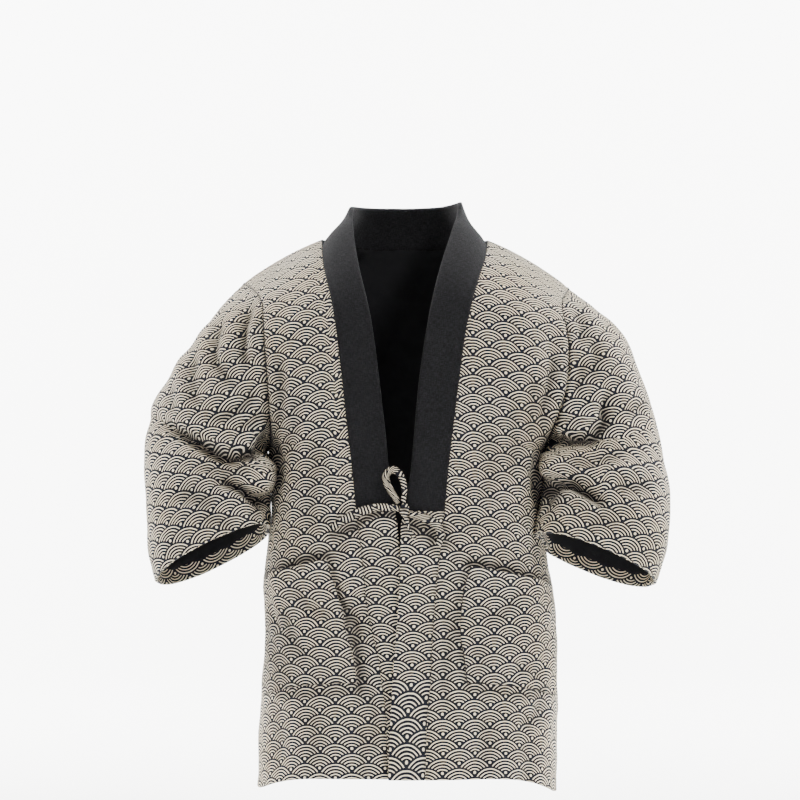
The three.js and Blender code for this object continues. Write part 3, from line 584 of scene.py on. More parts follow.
def length_up(points, aside):
    """Length from the hem up to each row of a panel, at one distance aside."""
    line = [[np.interp(aside, np.abs(row[half, 0]), row[half, axis]) for axis in (1, 2)]
            for row in points for half in [np.argsort(np.abs(row[:, 0]))]]
    steps = np.linalg.norm(np.diff(np.array(line), axis=0), axis=-1)
    return np.concatenate([[0], np.cumsum(steps)])[:, None] + 0 * points[..., 0]


def front_grid(side):
    name = side_name(side)
    h = body_heights(SHOULDER)[:, None]
    share = np.linspace(0, 1, FRONT_COLUMNS + 1)[None, :]
    seam = column(FRONT_LINES, "h", name + "_seam", h)
    edge_x = panel_edge(ARMHOLE_FRONT, side, h)[0]
    square = column(FRONT_MIDDLE, "h", "square", h)
    x = side * columns_at(share, seam, edge_x, square, h)
    p = front_point(side, x, h + 0 * x)
    return p, running(p, 1)


def back_grid():
    h = body_heights(SHOULDER)[:, None]
    share = np.linspace(0, 1, BACK_HALF_COLUMNS + 1)[None, :]
    square = column(BACK_MIDDLE, "h", "square", h)
    xs = []
    for side in (-1, 1):
        edge_x = panel_edge(ARMHOLE_BACK, side, h)[0]
        xs.append(side * columns_at(share, NECK_HALF, edge_x, square, h))
    middle = np.linspace(-NECK_HALF, NECK_HALF, NAPE_COLUMNS + 1)[None, 1:-1] + 0 * h
    x = np.concatenate([xs[0][:, ::-1], middle, xs[1]], axis=1)
    share = np.minimum(1, np.abs(x) / NECK_HALF)
    top = SHOULDER - NECK_DROP * (1 - share**3)
    up = np.where(h <= ARMPIT, h, ARMPIT + (top - ARMPIT) * (h - ARMPIT) / (SHOULDER - ARMPIT))
    p = back_point(x, up)
    length = running(p, 1)
    middle_column = p.shape[1] // 2
    return p, length - length[:, middle_column : middle_column + 1], up


def free_edge(side, h):
    name = side_name(side)
    p = front_point(side, column(FREE_EDGE, "h", name + "_x", h), h)
    p[..., 2] += column(FREE_EDGE, "h", "rise", h)
    p[..., 1] += column(FREE_EDGE, "h", "lift", h)
    nape = [NAPE_EDGE[axis][0 if side < 0 else -1] for axis in "xyz"]
    p[h >= SHOULDER] = nape
    return p


def front_seam(side, h):
    return front_point(side, column(FRONT_LINES, "h", side_name(side) + "_seam", h), h)


def strip(seam, free, bulge):
    t = np.linspace(0, 1, STRIP_COLUMNS + 1)[None, :, None]
    return seam[:, None] * (1 - t) + free[:, None] * t + bulge[:, None] * 4 * t * (1 - t)


def band_grid(side):
    h = np.linspace(0, TIE, 74)
    seam = front_seam(side, h)
    p = strip(seam, free_edge(side, h), 0 * seam)
    return p, running(p, 1), h[:, None] + 0 * p[..., 0]


def ease_rows(p):
    """Evens a grid out from row to row, in place; its first and last rows stay."""
    p[1:-1] = 0.5 * p[1:-1] + 0.25 * (p[:-2] + p[2:])


def collar_grid():
    """The collar, up the left front, round the neck and down the right front."""
    h = np.linspace(TIE, SHOULDER, 84)

    def up(side):
        high = smooth(600, SHOULDER, h)
        bulge = np.stack([side * 3 * high, -3 * high, 2 * high], axis=-1)
        return strip(front_seam(side, h), free_edge(side, h), bulge)

    turn = np.linspace(0, 1, 61)[1:-1]
    x = NECK_HALF * (2 * turn - 1)
    top = SHOULDER - NECK_DROP * (1 - np.abs(x / NECK_HALF) ** 3)
    seam = back_point(x, top)
    free = np.stack([column(NAPE_EDGE, "turn", axis, turn) for axis in "xyz"], axis=-1)
    bulge = np.stack([-3 * np.cos(np.pi * turn), 3 * np.sin(np.pi * turn), 2 + 0 * turn], axis=-1)
    p = np.concatenate([up(-1), strip(seam, free, bulge), up(1)[::-1]])
    # the joint between front and neck is eased over a few rows
    for _ in range(6):
        ease_rows(p)
    return p, running(p, 1), running(p, 0)


def clear_of_body(side, p):
    """Moves a sleeve's points out to where they just clear the body's side."""
    name = side_name(side)
    order = np.argsort(SIDE_SEAM[name + "_z"])
    h = np.interp(p[..., 2], SIDE_SEAM[name + "_z"][order], SIDE_SEAM["h"][order])
    out, square = (
        np.where(p[..., 1] < 0, column(FRONT_MIDDLE, "h", key, h), column(BACK_MIDDLE, "h", key, h))
        for key in ("out", "square")
    )
    share = np.minimum(1, np.abs(p[..., 1]) / out)
    edge_x = panel_edge(ARMHOLE_FRONT, side, h)[0]
    bound = edge_x * np.power(1 - np.power(share, square), 1 / square) + SLEEVE_CLEAR
    x = side * p[..., 0]
    moved = side * (bound + np.log1p(np.exp((x - bound) / 2)) * 2)
    p[..., 0] = np.where(p[..., 2] < UNDERARM_Z, moved, p[..., 0])


def sleeve_grid(side, facing):
    """Half a sleeve: rows from armhole to cuff, columns from underarm to outer line."""
    rows = SLEEVE_LEFT if side < 0 else SLEEVE_RIGHT
    share = np.linspace(0, 1, SLEEVE_COLUMNS + 1)
    h = ARMPIT + (SHOULDER - ARMPIT) * share
    edge = panel_edge(ARMHOLE_FRONT if facing < 0 else ARMHOLE_BACK, side, h)
    armhole = np.stack([side * edge[0], edge[1], edge[2]], axis=-1)
    s = np.linspace(0, 8, SLEEVE_ROWS + 1)
    get = {name: column(rows, "s", name, s) for name in rows}
    outer = np.stack([get["out_x"], get["out_y"], get["out_z"]], axis=-1)
    inner = np.stack([get["in_x"], get["in_y"], get["in_z"]], axis=-1)
    centre = (outer + inner) / 2
    width = (outer - inner) / 2
    across = unit(width)
    depth = np.stack([0 * s, -1 + 0 * s, get["raised"]], axis=-1)
    depth -= across * np.sum(depth * across, axis=-1, keepdims=True)
    depth = unit(depth)
    turn = np.pi * (1 - share)
    power = 2 / SLEEVE_SQUARE
    c = np.sign(np.cos(turn)) * np.abs(np.cos(turn)) ** power
    d = np.maximum(0, np.sin(turn)) ** power
    bulge = get["front"] if facing < 0 else -get["back"]
    p = (
        centre[:, None]
        + width[:, None] * c[None, :, None]
        + (depth * bulge[:, None])[:, None] * d[None, :, None]
    )
    if facing < 0:
        # the soft roll on the inner side laps over the edge of the body
        roll = ROLL * bell(share - ROLL_ACROSS, ROLL_ACROSS_HALF)[None]
        roll = roll * bell(s - ROLL_ALONG, ROLL_ALONG_HALF)[:, None]
        p = p - across[:, None] * roll[..., None]
    hold = np.maximum(0, 1 - s / 1.6) ** 2
    p = p + (armhole - p[0])[None] * hold[:, None, None]
    clear_of_body(side, p)
    p[0] = armhole
    from_outer = running(p[:, ::-1], 1)[:, ::-1]
    return p, from_outer, running(p, 0)


def normals_of(p, side):
    """Unit normals of a grid, turned to the side that its outside faces."""
    along = np.gradient(p, axis=0)
    over = np.gradient(p, axis=1)
    n = np.cross(over, along)
    n /= np.maximum(1e-9, np.linalg.norm(n, axis=-1, keepdims=True))
    return n * side


def outside_sign(p, inside):
    n = normals_of(p, 1)
    return 1 if np.sum(n * (p - inside)) > 0 else -1


def away_from(line, p):
    """Signed distance of each point from a bent line seen from the front (the x
    and z of its places), and how far along it the nearest lies, from 0 to 1."""
    line = np.array(line, dtype=float).reshape(-1, 2)
    best = np.full(p.shape[:-1], 1e9)
    signed = np.zeros(p.shape[:-1])
    along = np.zeros(p.shape[:-1])
    lengths = np.linalg.norm(np.diff(line, axis=0), axis=-1)
    starts = np.concatenate([[0], np.cumsum(lengths)])
    for k in range(len(line) - 1):
        d = (line[k + 1] - line[k]) / lengths[k]
        x = p[..., 0] - line[k, 0]
        z = p[..., 2] - line[k, 1]
        t = np.clip(x * d[0] + z * d[1], 0, lengths[k])
        far = np.hypot(x - t * d[0], z - t * d[1])
        nearer = far < best
        best = np.where(nearer, far, best)
        signed = np.where(nearer, np.sign(d[0] * z - d[1] * x) * far, signed)
        along = np.where(nearer, (starts[k] + t) / starts[-1], along)
    return signed, along


def ease_in(p, sewn):
    """0 at the sewn edges of a grid and 1 a little way inside."""
    ease = np.ones(p.shape[:-1])
    length = running(p, 1)
    height = running(p, 0)
    reach = {
        "first": length,
        "last": length[:, -1:] - length,
        "foot": height,
        "top": height[-1:] - height,
    }
    for edge in sewn:
        ease = ease * smooth(0, 16, reach[edge])
    return ease, [reach[edge] for edge in sewn]


def taken_up(folded, flat, axis, from_last=False):
    """How much more cloth a grid's folds take along one axis, measured from its
    first row or column, or from its last."""
    if from_last:
        folded, flat = np.flip(folded, axis), np.flip(flat, axis)
    more = running(folded, axis) - running(flat, axis)
    return np.flip(more, axis) if from_last else more


# How deep a crease must be to hold full painted shade, how much narrower than the crease
# that painted shade is, and the painted shade that each piece holds
DARK_DEPTH = 10.0
DARK_NARROW = 1.4
PAINTED_SHADE = {}

# How far the cloth dips beside a seam, and how high its puckers are
SEAM_DIP = 1.2
SEAM_PUCKER = 0.45


def creased(name, p, sign, sewn, slack=1.0, puckered=True):
    """Moves a grid along its normals by its folds, creases and seam puckers, and keeps
    the shade painted into its colour in creases, beside seams and under other pieces.
    """
    n = normals_of(p, sign)
    ease, reaches = ease_in(p, sewn)
    high = np.zeros(p.shape[:-1])
    dark = np.zeros(p.shape[:-1])
    for half, rise, *line in FOLDS.get(name, ()):
        high += rise * bell(away_from(line, p)[0], half)
    for half, depth, ridge, *line in CREASES.get(name, ()):
        away, along = away_from(line, p)
        fade = smooth(0, 0.22, along) * (1 - smooth(0.72, 1.0, along)) + 0.12
        beside = away - math.copysign(1.75 * half, ridge)
        high += depth * fade * (bell(away, half) - abs(ridge) * bell(beside, 1.15 * half))
        # a trough gets painted shade in the cloth's colour, narrower than the crease
        if depth < 0:
            held = np.exp(-((away / half) ** 2) * DARK_NARROW)
            dark += np.minimum(1, -depth / DARK_DEPTH) * fade * held
    x, y, z = p[..., 0], p[..., 1], p[..., 2]
    # slack of a thin wadding: a few slow waves that don't repeat together
    high += slack * 0.55 * np.sin(0.071 * x + 0.043 * z + 1.3) * np.sin(0.052 * z - 0.031 * y)
    high += slack * 0.35 * np.sin(0.139 * x - 0.083 * z + 0.09 * y + 0.7)
    high += slack * 0.25 * np.sin(0.047 * x + 0.167 * z - 0.11 * y + 2.1)
    high = high * ease
    # painted shade where another piece shades this one
    for half, shade, *line in SHADES.get(name, ()):
        dark += shade * bell(away_from(line, p)[0], half)
    # beside a seam the cloth dips and puckers unevenly, and shade is painted along it
    run = 0.9 * z + 0.7 * x + 0.4 * y
    pucker = np.sin(0.42 * run + 1.7 * np.sin(0.061 * run))
    seam_shade = 0.6 if name.startswith("sleeve") else 0.35
    for reach in reaches if puckered else ():
        dip = -SEAM_DIP * bell(reach, 7.0) * smooth(0, 3.5, reach)
        high += dip + SEAM_PUCKER * pucker * smooth(0, 4, reach) * bell(reach, 16.0)
        dark += seam_shade * bell(reach, 3.0)
    PAINTED_SHADE[name] = np.clip(dark, 0, 1)
    return p + n * high[..., None]


# Colours, as seen
CREAM = "#f0e7d3"
CREAM_WARM = "#e2d0a8"
INK = "#0d1018"
INK_FADED = "#191c26"
BLACK = "#060607"
BLACK_SLUB_HIGHLIGHT = "#1b1b1e"
LINING = "#141417"
STUDIO = "#fbfbfa"


def linear(colour):
    """sRGB hex to linear values with full alpha."""
    values = [int(colour[k : k + 2], 16) / 255 for k in (1, 3, 5)]
    values = [v / 12.92 if v <= 0.04045 else ((v + 0.055) / 1.055) ** 2.4 for v in values]
    return (*values, 1.0)


def node(tree, kind, settings=None, **links):
    """Adds a node: settings are its properties and socket values, links feed it."""
    made = tree.nodes.new(kind)
    for name, value in (settings or {}).items():
        if name.startswith("in_"):
            key = name[3:]
            made.inputs[int(key) if key.isdigit() else key.replace("_", " ")].default_value = value
        else:
            setattr(made, name, value)
    for name, source in links.items():
        numbered = name[0] == "i" and name[1:].isdigit()
        key = int(name[1:]) if numbered else name.replace("_", " ")
        tree.links.new(source, made.inputs[key])
    return made


def calc(tree, operation, *values):
    """A sum on numbers and other nodes' outputs."""
    settings = {"in_%d" % k: value for k, value in enumerate(values) if isinstance(value, float)}
    links = {"i%d" % k: value for k, value in enumerate(values) if not isinstance(value, float)}
    return node(tree, "ShaderNodeMath", {"operation": operation, **settings}, **links).outputs[0]


def blend(tree, factor, low, high, way="MIX"):
    """A mix of two colours, each given as values or as another node's output."""
    settings = {"data_type": "RGBA", "blend_type": way}
    links = {"Factor": factor}
    for key, value in (("6", low), ("7", high)):
        if isinstance(value, tuple):
            settings["in_" + key] = value
        else:
            links["i" + key] = value
    return node(tree, "ShaderNodeMix", settings, **links).outputs[2]


def cloth_material(name, roughness, sheen):
    material = bpy.data.materials.new(name)
    material.use_nodes = True
    tree = material.node_tree
    shader = tree.nodes["Principled BSDF"]
    shader.inputs["Roughness"].default_value = roughness
    shader.inputs["Specular IOR Level"].default_value = 0.15
    shader.inputs["Sheen Weight"].default_value = sheen
    shader.inputs["Sheen Roughness"].default_value = 0.5
    return material, tree, shader


# The print: fans whose centres are all 23.8 mm from their six neighbours, each
# row in front of the one above it, with four light rings and a light bud
FAN = 23.8
FAN_ASIDE = FAN * math.sqrt(3) / 2
FAN_RIM = 25.0
RINGS = ((9.7, 10.85), (13.5, 14.65), (17.35, 18.5), (21.15, 22.45))
RING_SOFT = 0.22
BUD_UP = 5.9
BUD_RADIUS = 1.7


def fan_group():
    """One row of fans: from a place on the cloth and a row number, gives how
    light the print is and whether the place lies inside a fan of that row."""
    tree = bpy.data.node_groups.new("fan_row", "ShaderNodeTree")
    for name in ("Across", "Up", "Row"):
        tree.interface.new_socket(name, in_out="INPUT", socket_type="NodeSocketFloat")
    for name in ("Light", "Inside"):
        tree.interface.new_socket(name, in_out="OUTPUT", socket_type="NodeSocketFloat")
    start = node(tree, "NodeGroupInput")
    end = node(tree, "NodeGroupOutput")
    row = start.outputs["Row"]
    odd = calc(tree, "ABSOLUTE", calc(tree, "MODULO", row, 2.0))
    moved = calc(tree, "ADD", start.outputs["Across"], calc(tree, "MULTIPLY", odd, FAN_ASIDE))
    aside = calc(tree, "PINGPONG", moved, FAN_ASIDE)
    up = calc(tree, "SUBTRACT", start.outputs["Up"], calc(tree, "MULTIPLY", row, FAN / 2))
    place = node(tree, "ShaderNodeCombineXYZ", X=aside, Y=up).outputs[0]
    radius = node(tree, "ShaderNodeVectorMath", {"operation": "LENGTH"}, i0=place).outputs["Value"]
    ramp = node(tree, "ShaderNodeValToRGB", Fac=calc(tree, "DIVIDE", radius, FAN))
    stops = [(0.0, 0.0)]
    for low, high in RINGS:
        stops += [
            ((low - RING_SOFT) / FAN, 0.0),
            ((low + RING_SOFT) / FAN, 1.0),
            ((high - RING_SOFT) / FAN, 1.0),
            ((high + RING_SOFT) / FAN, 0.0),
        ]
    elements = ramp.color_ramp.elements
    elements.remove(elements[1])
    elements[0].position = 0.0
    elements[0].color = (0, 0, 0, 1)
    for position, value in stops[1:]:
        elements.new(position).color = (value, value, value, 1)
    from_bud = {"operation": "DISTANCE", "in_1": (0.0, BUD_UP, 0.0)}
    bud = node(tree, "ShaderNodeVectorMath", from_bud, i0=place)
    bud_edge = {"in_1": BUD_RADIUS + RING_SOFT, "in_2": BUD_RADIUS - RING_SOFT}
    bud = node(tree, "ShaderNodeMapRange", bud_edge, Value=bud.outputs["Value"])
    light = calc(tree, "MAXIMUM", ramp.outputs["Color"], bud.outputs[0])
    tree.links.new(light, end.inputs["Light"])
    tree.links.new(calc(tree, "LESS_THAN", radius, FAN_RIM), end.inputs["Inside"])
    return tree


fan_row = fan_group()


def print_colour(tree, place):
    """Colour of the print at a place on the cloth, given in millimetres."""
    # screen printing on slubby cotton leaves the lines slightly uneven
    wander = node(tree, "ShaderNodeTexNoise", {"in_Scale": 0.16, "in_Detail": 2.0}, Vector=place)
    reach = {"operation": "MULTIPLY_ADD", "in_1": (0.9, 0.9, 0.0), "in_2": (-0.45, -0.45, 0.0)}
    wander = node(tree, "ShaderNodeVectorMath", reach, i0=wander.outputs["Color"]).outputs[0]
    place = node(tree, "ShaderNodeVectorMath", {"operation": "ADD"}, i0=place, i1=wander).outputs[0]
    split = node(tree, "ShaderNodeSeparateXYZ", i0=place)
    across, up = split.outputs[0], split.outputs[1]
    # the lowest row whose rim can reach this place, and the row above it
    low = calc(tree, "MULTIPLY", calc(tree, "SUBTRACT", up, FAN_RIM), 2 / FAN)
    low = calc(tree, "CEIL", low)
    fans = [
        node(tree, "ShaderNodeGroup", {"node_tree": fan_row}, Across=across, Up=up, Row=which)
        for which in (low, calc(tree, "ADD", low, 1.0))
    ]
    light = node(
        tree,
        "ShaderNodeMix",
        {"data_type": "FLOAT"},
        Factor=fans[0].outputs["Inside"],
        i2=fans[1].outputs["Light"],
        i3=fans[0].outputs["Light"],
    )
    slow = node(tree, "ShaderNodeTexNoise", {"in_Scale": 0.012, "in_Detail": 2.0}, Vector=place)
    cream = blend(tree, slow.outputs[0], linear(CREAM), linear(CREAM_WARM))
    # specks of thread that took less ink
    speck = node(tree, "ShaderNodeTexNoise", {"in_Scale": 0.9, "in_Detail": 1.0}, Vector=place)
    speck = node(tree, "ShaderNodeMapRange", {"in_1": 0.35, "in_2": 0.75}, Value=speck.outputs[0])
    ink = blend(tree, speck.outputs[0], linear(INK), linear(INK_FADED))
    return blend(tree, light.outputs[0], ink, cream)


def cloth_place(tree, turned=False):
    """The piece's own cloth map in millimetres; turned is upside down."""
    uv = node(tree, "ShaderNodeUVMap", {"uv_map": "cloth"})
    scale = (1000.0, -1000.0 if turned else 1000.0, 1000.0)
    mapped = node(tree, "ShaderNodeMapping", {"in_Scale": scale}, Vector=uv.outputs[0])
    return mapped.outputs[0]


def weave_bump(tree, shader, place, thread, slub, depth):
    """Threads both ways with thick places in them, as a bump in millimetres."""
    heights = []
    noise = {"in_Scale": 1.0, "in_Detail": slub}
    for long_way in ((1 / (6 * thread), 1 / thread, 1), (1 / thread, 1 / (6 * thread), 1)):
        stretched = node(tree, "ShaderNodeMapping", {"in_Scale": long_way}, Vector=place)
        threads = node(tree, "ShaderNodeTexNoise", noise, Vector=stretched.outputs[0])
        heights.append(threads.outputs[0])
    both = calc(tree, "ADD", *heights)
    relief = {"in_Strength": 1.0, "in_Distance": depth / 1000}
    bump = node(tree, "ShaderNodeBump", relief, Height=both)
    tree.links.new(bump.outputs[0], shader.inputs["Normal"])
    return both


# Printed plain-weave cotton: matte, with soft-edged ink. Its threads are 0.4 mm
# apart, too fine to show, so they are drawn at 1.1 mm.
printed_cotton, tree, shader = cloth_material("printed_cotton", 0.92, 0.03)
place = cloth_place(tree)
# painted shade: the cloth is darkened by the trough attribute, in deep creases, beside seams
# and where another piece shades it
PAINTED_SHADE_COLOUR = (0.22, 0.22, 0.24, 1.0)
held = node(tree, "ShaderNodeAttribute", {"attribute_name": "trough"}).outputs["Fac"]
shaded = blend(tree, held, print_colour(tree, place), PAINTED_SHADE_COLOUR, "MULTIPLY")
tree.links.new(shaded, shader.inputs["Base Color"])
weave_bump(tree, shader, place, 1.1, 2.0, 0.35)

# Black slub cotton of the collar: matte black with short thick threads; the light
# they catch is painted into the colour as fine grey streaks, a painted highlight
black_cotton, tree, shader = cloth_material("black_slub_cotton", 0.9, 0.04)
place = cloth_place(tree)
threads = weave_bump(tree, shader, place, 0.9, 3.0, 0.45)
slub_highlight = node(tree, "ShaderNodeMapRange", {"in_1": 0.85, "in_2": 1.3}, Value=threads)
black = blend(tree, slub_highlight.outputs[0], linear(BLACK), linear(BLACK_SLUB_HIGHLIGHT))
tree.links.new(black, shader.inputs["Base Color"])

# Dark plain cotton lining, smoother than the outside, with the print turned in
# for the last 25 mm at cuffs, where it shows upside down
TURNED_IN = 25.0
lining_cotton, tree, shader = cloth_material("lining_cotton", 0.85, 0.1)
place = cloth_place(tree, turned=True)
weave_bump(tree, shader, place, 0.9, 2.0, 0.25)
height = node(tree, "ShaderNodeSeparateXYZ", i0=place)
turned = calc(tree, "GREATER_THAN", height.outputs[1], -TURNED_IN)
lined = blend(tree, turned, linear(LINING), print_colour(tree, place))
tree.links.new(lined, shader.inputs["Base Color"])


def sheet_object(name, p, u, v, sign, wall, round_edge, outer, inner, cut=None):
    """A sheet of cloth from a grid of its outside: create_grid moved onto the
    points, then Solidify for the wall and Bevel for its turned edges."""
    rows, columns = p.shape[:2]
    bm = bmesh.new()
    bmesh.ops.create_grid(bm, x_segments=columns - 1, y_segments=rows - 1, size=0.5)
    bm.verts.ensure_lookup_table()
    place = {}
    for vert in bm.verts:
        j = round((vert.co.x + 0.5) * (columns - 1))
        i = round((vert.co.y + 0.5) * (rows - 1))
        place[vert.index] = (i, j)
        vert.co = p[i, j] / 1000
    uv = bm.loops.layers.uv.new("cloth")
    # the shade painted into the cloth's colour, at each corner
    dark = bm.verts.layers.float.new("trough")
    depths = PAINTED_SHADE.get(name)
    if depths is not None:
        for vert in bm.verts:
            vert[dark] = float(depths[place[vert.index]])
    for face in bm.faces:
        face.smooth = True
        corners = [place[loop.vert.index] for loop in face.loops]
        row = min(i for i, j in corners)
        for loop, (i, j) in zip(face.loops, corners):
            across, height = u[i, j], v[i, j]
            if cut is not None and row >= cut[0][j]:
                across, height = cut[1][i, j], cut[2][i, j]
            loop[uv].uv = (across / 1000, height / 1000)
    if sign < 0:
        bmesh.ops.reverse_faces(bm, faces=bm.faces)
    mesh = bpy.data.meshes.new(name + "_cloth")
    bm.to_mesh(mesh)
    bm.free()
    mesh.materials.append(outer)
    mesh.materials.append(inner)
    piece = bpy.data.objects.new(name + "_cloth", mesh)
    bpy.context.scene.collection.objects.link(piece)
    solidify = piece.modifiers.new("wall", "SOLIDIFY")
    solidify.thickness = wall / 1000
    solidify.offset = -1
    solidify.material_offset = 1
    solidify.material_offset_rim = 1
    bevel = piece.modifiers.new("turned_edge", "BEVEL")
    bevel.width = round_edge / 1000
    bevel.segments = 2
    bevel.profile = 0.5
    bevel.limit_method = "ANGLE"
    bevel.angle_limit = math.radians(50)
    bevel.use_clamp_overlap = False
    bevel.material = -1
    return piece


def inset(p, edges, amount=SEAM_GAP / 2):
    """Takes half the seam gap off the sewn edges of a grid."""
    p = p.copy()
    for edge in edges:
        rows = p.swapaxes(0, 1) if edge in ("first", "last") else p
        end, beside = (0, 1) if edge in ("first", "foot") else (-1, -2)
        rows[end] += amount * unit(rows[beside] - rows[end])
    return p


# How often the print's lay on an upper sleeve is evened out
PRINT_EASED = 30


def spread(p, off, up, reference):
    """Lays a grid flat along two directions of the front, with the length that
    its turn into the depth adds shared between them, from one column outwards."""
    aside, rise, back = (np.diff(values, axis=1) for values in (p @ off, p @ up, p[..., 1]))
    plain = np.maximum(1e-6, np.hypot(aside, rise))
    more = np.minimum(2.6, np.hypot(plain, back) / plain)
    laid = []
    # what is left of the turn runs across
    rest = np.sqrt(np.maximum(0, plain**2 + back**2 - (plain * more) ** 2))
    for step, start in ((aside * more + rest, p @ off), (rise * more, p @ up)):
        total = np.concatenate([0 * step[:, :1], np.cumsum(step, axis=1)], axis=1)
        at = slice(reference, reference + 1)
        more_than = total - total[:, at] + start[:, at] - start
        for _ in range(PRINT_EASED):
            ease_rows(more_than)
            ease_rows(more_than.T)
        laid.append(start + more_than)
    return laid


def finish_piece(name, piece):
    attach(piece, "root")
    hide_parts(name)


def axis_points(p, x=0.0, y=0.0):
    middle = np.zeros_like(p)
    middle[..., 0] = x
    middle[..., 1] = y
    middle[..., 2] = p[..., 2]
    return middle


# Where the print is set upright on the fronts and the back, and the share of the
# cloth in a piece's folds that the print follows
UPRIGHT_FRONT = 120
UPRIGHT_BACK = 125
FOLD_SHARE = 0.6

# Print far enough up the cloth map for the lining's turned-in print to stay away
PRINT_FAR = 40 * FAN

# Near the hem the right band's fans are taller
TALL_BELOW = 122
TALL_SHARE = 0.74

# Where the print starts on each piece, across and up, in millimetres
PRINT_START = {
    "front_left": (6.0, 4.0),
    "front_right": (15.0, 9.0),
    "back": (0.0, 2.0),
    "band_left": (9.0, 7.0),
    "band_right": (3.0, 1.0),
    "pocket_left": (4.0, 6.0),
    "pocket_right": (12.0, 3.0),
    "sleeve_left_front": (0.0, 5.0),
    "sleeve_left_back": (0.0, 5.0),
    "sleeve_right_front": (0.0, 8.0),
    "sleeve_right_back": (0.0, 8.0),
}

# Fronts and back
FRONT_SEWN = ("first", "last", "top")
front_folded = {}
for side in (-1, 1):
    name = "front_" + side_name(side)
    smooth_p, u = front_grid(side)
    sign = outside_sign(smooth_p, axis_points(smooth_p))
    p = creased(name, smooth_p, sign, FRONT_SEWN, puckered=False)
    u = u + taken_up(p, smooth_p, 1)
    # the print stands upright at the middle of the panel
    rows = zip(smooth_p[..., 0], u)
    upright = [np.interp(UPRIGHT_FRONT, np.abs(row), across) for row, across in rows]
    u = u - np.array(upright)[:, None]
    v = length_up(smooth_p, UPRIGHT_FRONT) + FOLD_SHARE * taken_up(p, smooth_p, 0)
    p = creased(name, smooth_p, sign, FRONT_SEWN)
    front_folded[side] = (p, sign)
    start = PRINT_START[name]
    piece = sheet_object(
        name, inset(p, FRONT_SEWN), side * u + start[0], v + start[1], sign, WALL,
        PANEL_ROUND, printed_cotton, lining_cotton,
    )
    finish_piece(name, piece)

p, u, v = back_grid()
sign = outside_sign(p, axis_points(p))
v = np.interp(v, body_heights(SHOULDER), length_up(p, UPRIGHT_BACK)[:, 0])
p = creased("back", p, sign, FRONT_SEWN)
start = PRINT_START["back"]
# the back's top edge runs up a little into the collar
at_neck = np.abs(p[-1, :, :1]) < NECK_HALF - 3
p[-1] += NECK_TUCK * at_neck * unit(p[-1] - p[-2])
piece = sheet_object(
    "back", inset(p, ("first", "last")), u + start[0], v + start[1], sign, WALL,
    PANEL_ROUND, printed_cotton, lining_cotton,
)
finish_piece("back", piece)

# Sleeves: the cloth is longer along the outside of the elbow than along its
# inside, and the rest lies in the elbow's fold, so the print jumps there
ELBOW_LINES = by_piece("""
sleeve_left_front
-170 -252 -188 -279 -216 -285 -233 -280 -257 -268 -285 -254 -340 -226
sleeve_right_front
170 -254 207 -262 236 -260 262 -262 300 -250 345 -244
sleeve_left_back
-176 -284 -216 -286 -258 -276 -345 -250
sleeve_right_back
176 -284 222 -288 262 -280 345 -258
""")
SLEEVE_SEWN = ("first", "last", "foot")
# how far the print on each upper sleeve leans towards the neck
UPPER_LEAN = {-1: math.radians(-24), 1: math.radians(20)}
for side in (-1, 1):
    for facing, part in ((-1, "front"), (1, "back")):
        name = "sleeve_" + side_name(side) + "_" + part
        p, u, from_armhole = sleeve_grid(side, facing)
        sign = outside_sign(p, axis_points(p, side * 240.0, -20.0))
        away = away_from(ELBOW_LINES[name], p)[0]
        jump = np.argmin(np.abs(away), axis=0)
        folded = creased(name, p, sign, SLEEVE_SEWN, puckered=False)
        from_cuff = from_armhole[-1] - from_armhole
        from_cuff = from_cuff + FOLD_SHARE * taken_up(folded, p, 0, from_last=True)
        across_more = FOLD_SHARE * taken_up(folded, p, 1, from_last=True)
        # above the fold the print runs up the upper arm
        lean = UPPER_LEAN[side]
        up_arm = np.array([-side * math.sin(lean), 0.0, math.cos(lean)])
        off_arm = np.array([side * math.cos(lean), 0.0, math.sin(lean)])
        upper_u, upper_v = spread(p, off_arm, up_arm, SLEEVE_COLUMNS * 2 // 5)
        upper_u = across_more - upper_u
        u = u + across_more
        p = creased(name, p, sign, SLEEVE_SEWN)
        start = PRINT_START[name]
        edges = SLEEVE_SEWN
        if facing > 0:
            # behind the shoulder the sleeve's edge runs a little under the back
            p[0] -= SHOULDER_TUCK * unit(p[1] - p[0])
            edges = ("first", "last")
        piece = sheet_object(
            name,
            inset(p, edges),
            facing * side * upper_u + start[0],
            upper_v + start[1] + PRINT_FAR,
            sign, WALL, PANEL_ROUND, printed_cotton, lining_cotton,
            cut=(jump, facing * side * u + start[0], from_cuff + start[1]),
        )
        finish_piece(name, piece)

# Bands and collar
BAND_SEWN = ("first", "top")
for side in (-1, 1):
    name = "band_" + side_name(side)
    p, u, v = band_grid(side)
    sign = outside_sign(p, axis_points(p))
    p = p + normals_of(p, sign) * STRIP_PROUD
    p = creased(name, p, sign, BAND_SEWN, slack=0.5)
    start = PRINT_START[name]
    if side > 0:
        v = np.maximum(v, TALL_BELOW) - TALL_BELOW + np.minimum(v, TALL_BELOW) * TALL_SHARE
    piece = sheet_object(
        name, inset(p, BAND_SEWN), -side * u + start[0], v + start[1], sign, BAND_WALL,
        BAND_ROUND, printed_cotton, printed_cotton,
    )
    finish_piece(name, piece)

p, u, v = collar_grid()
sign = outside_sign(p, axis_points(p))
p = p + normals_of(p, sign) * STRIP_PROUD
p = creased("collar", p, sign, ("first", "foot", "top"), slack=0.5)
piece = sheet_object(
    "collar", inset(p, ("first", "foot", "top")), v, u, sign, COLLAR_WALL,
    COLLAR_ROUND, black_cotton, black_cotton,
)
finish_piece("collar", piece)


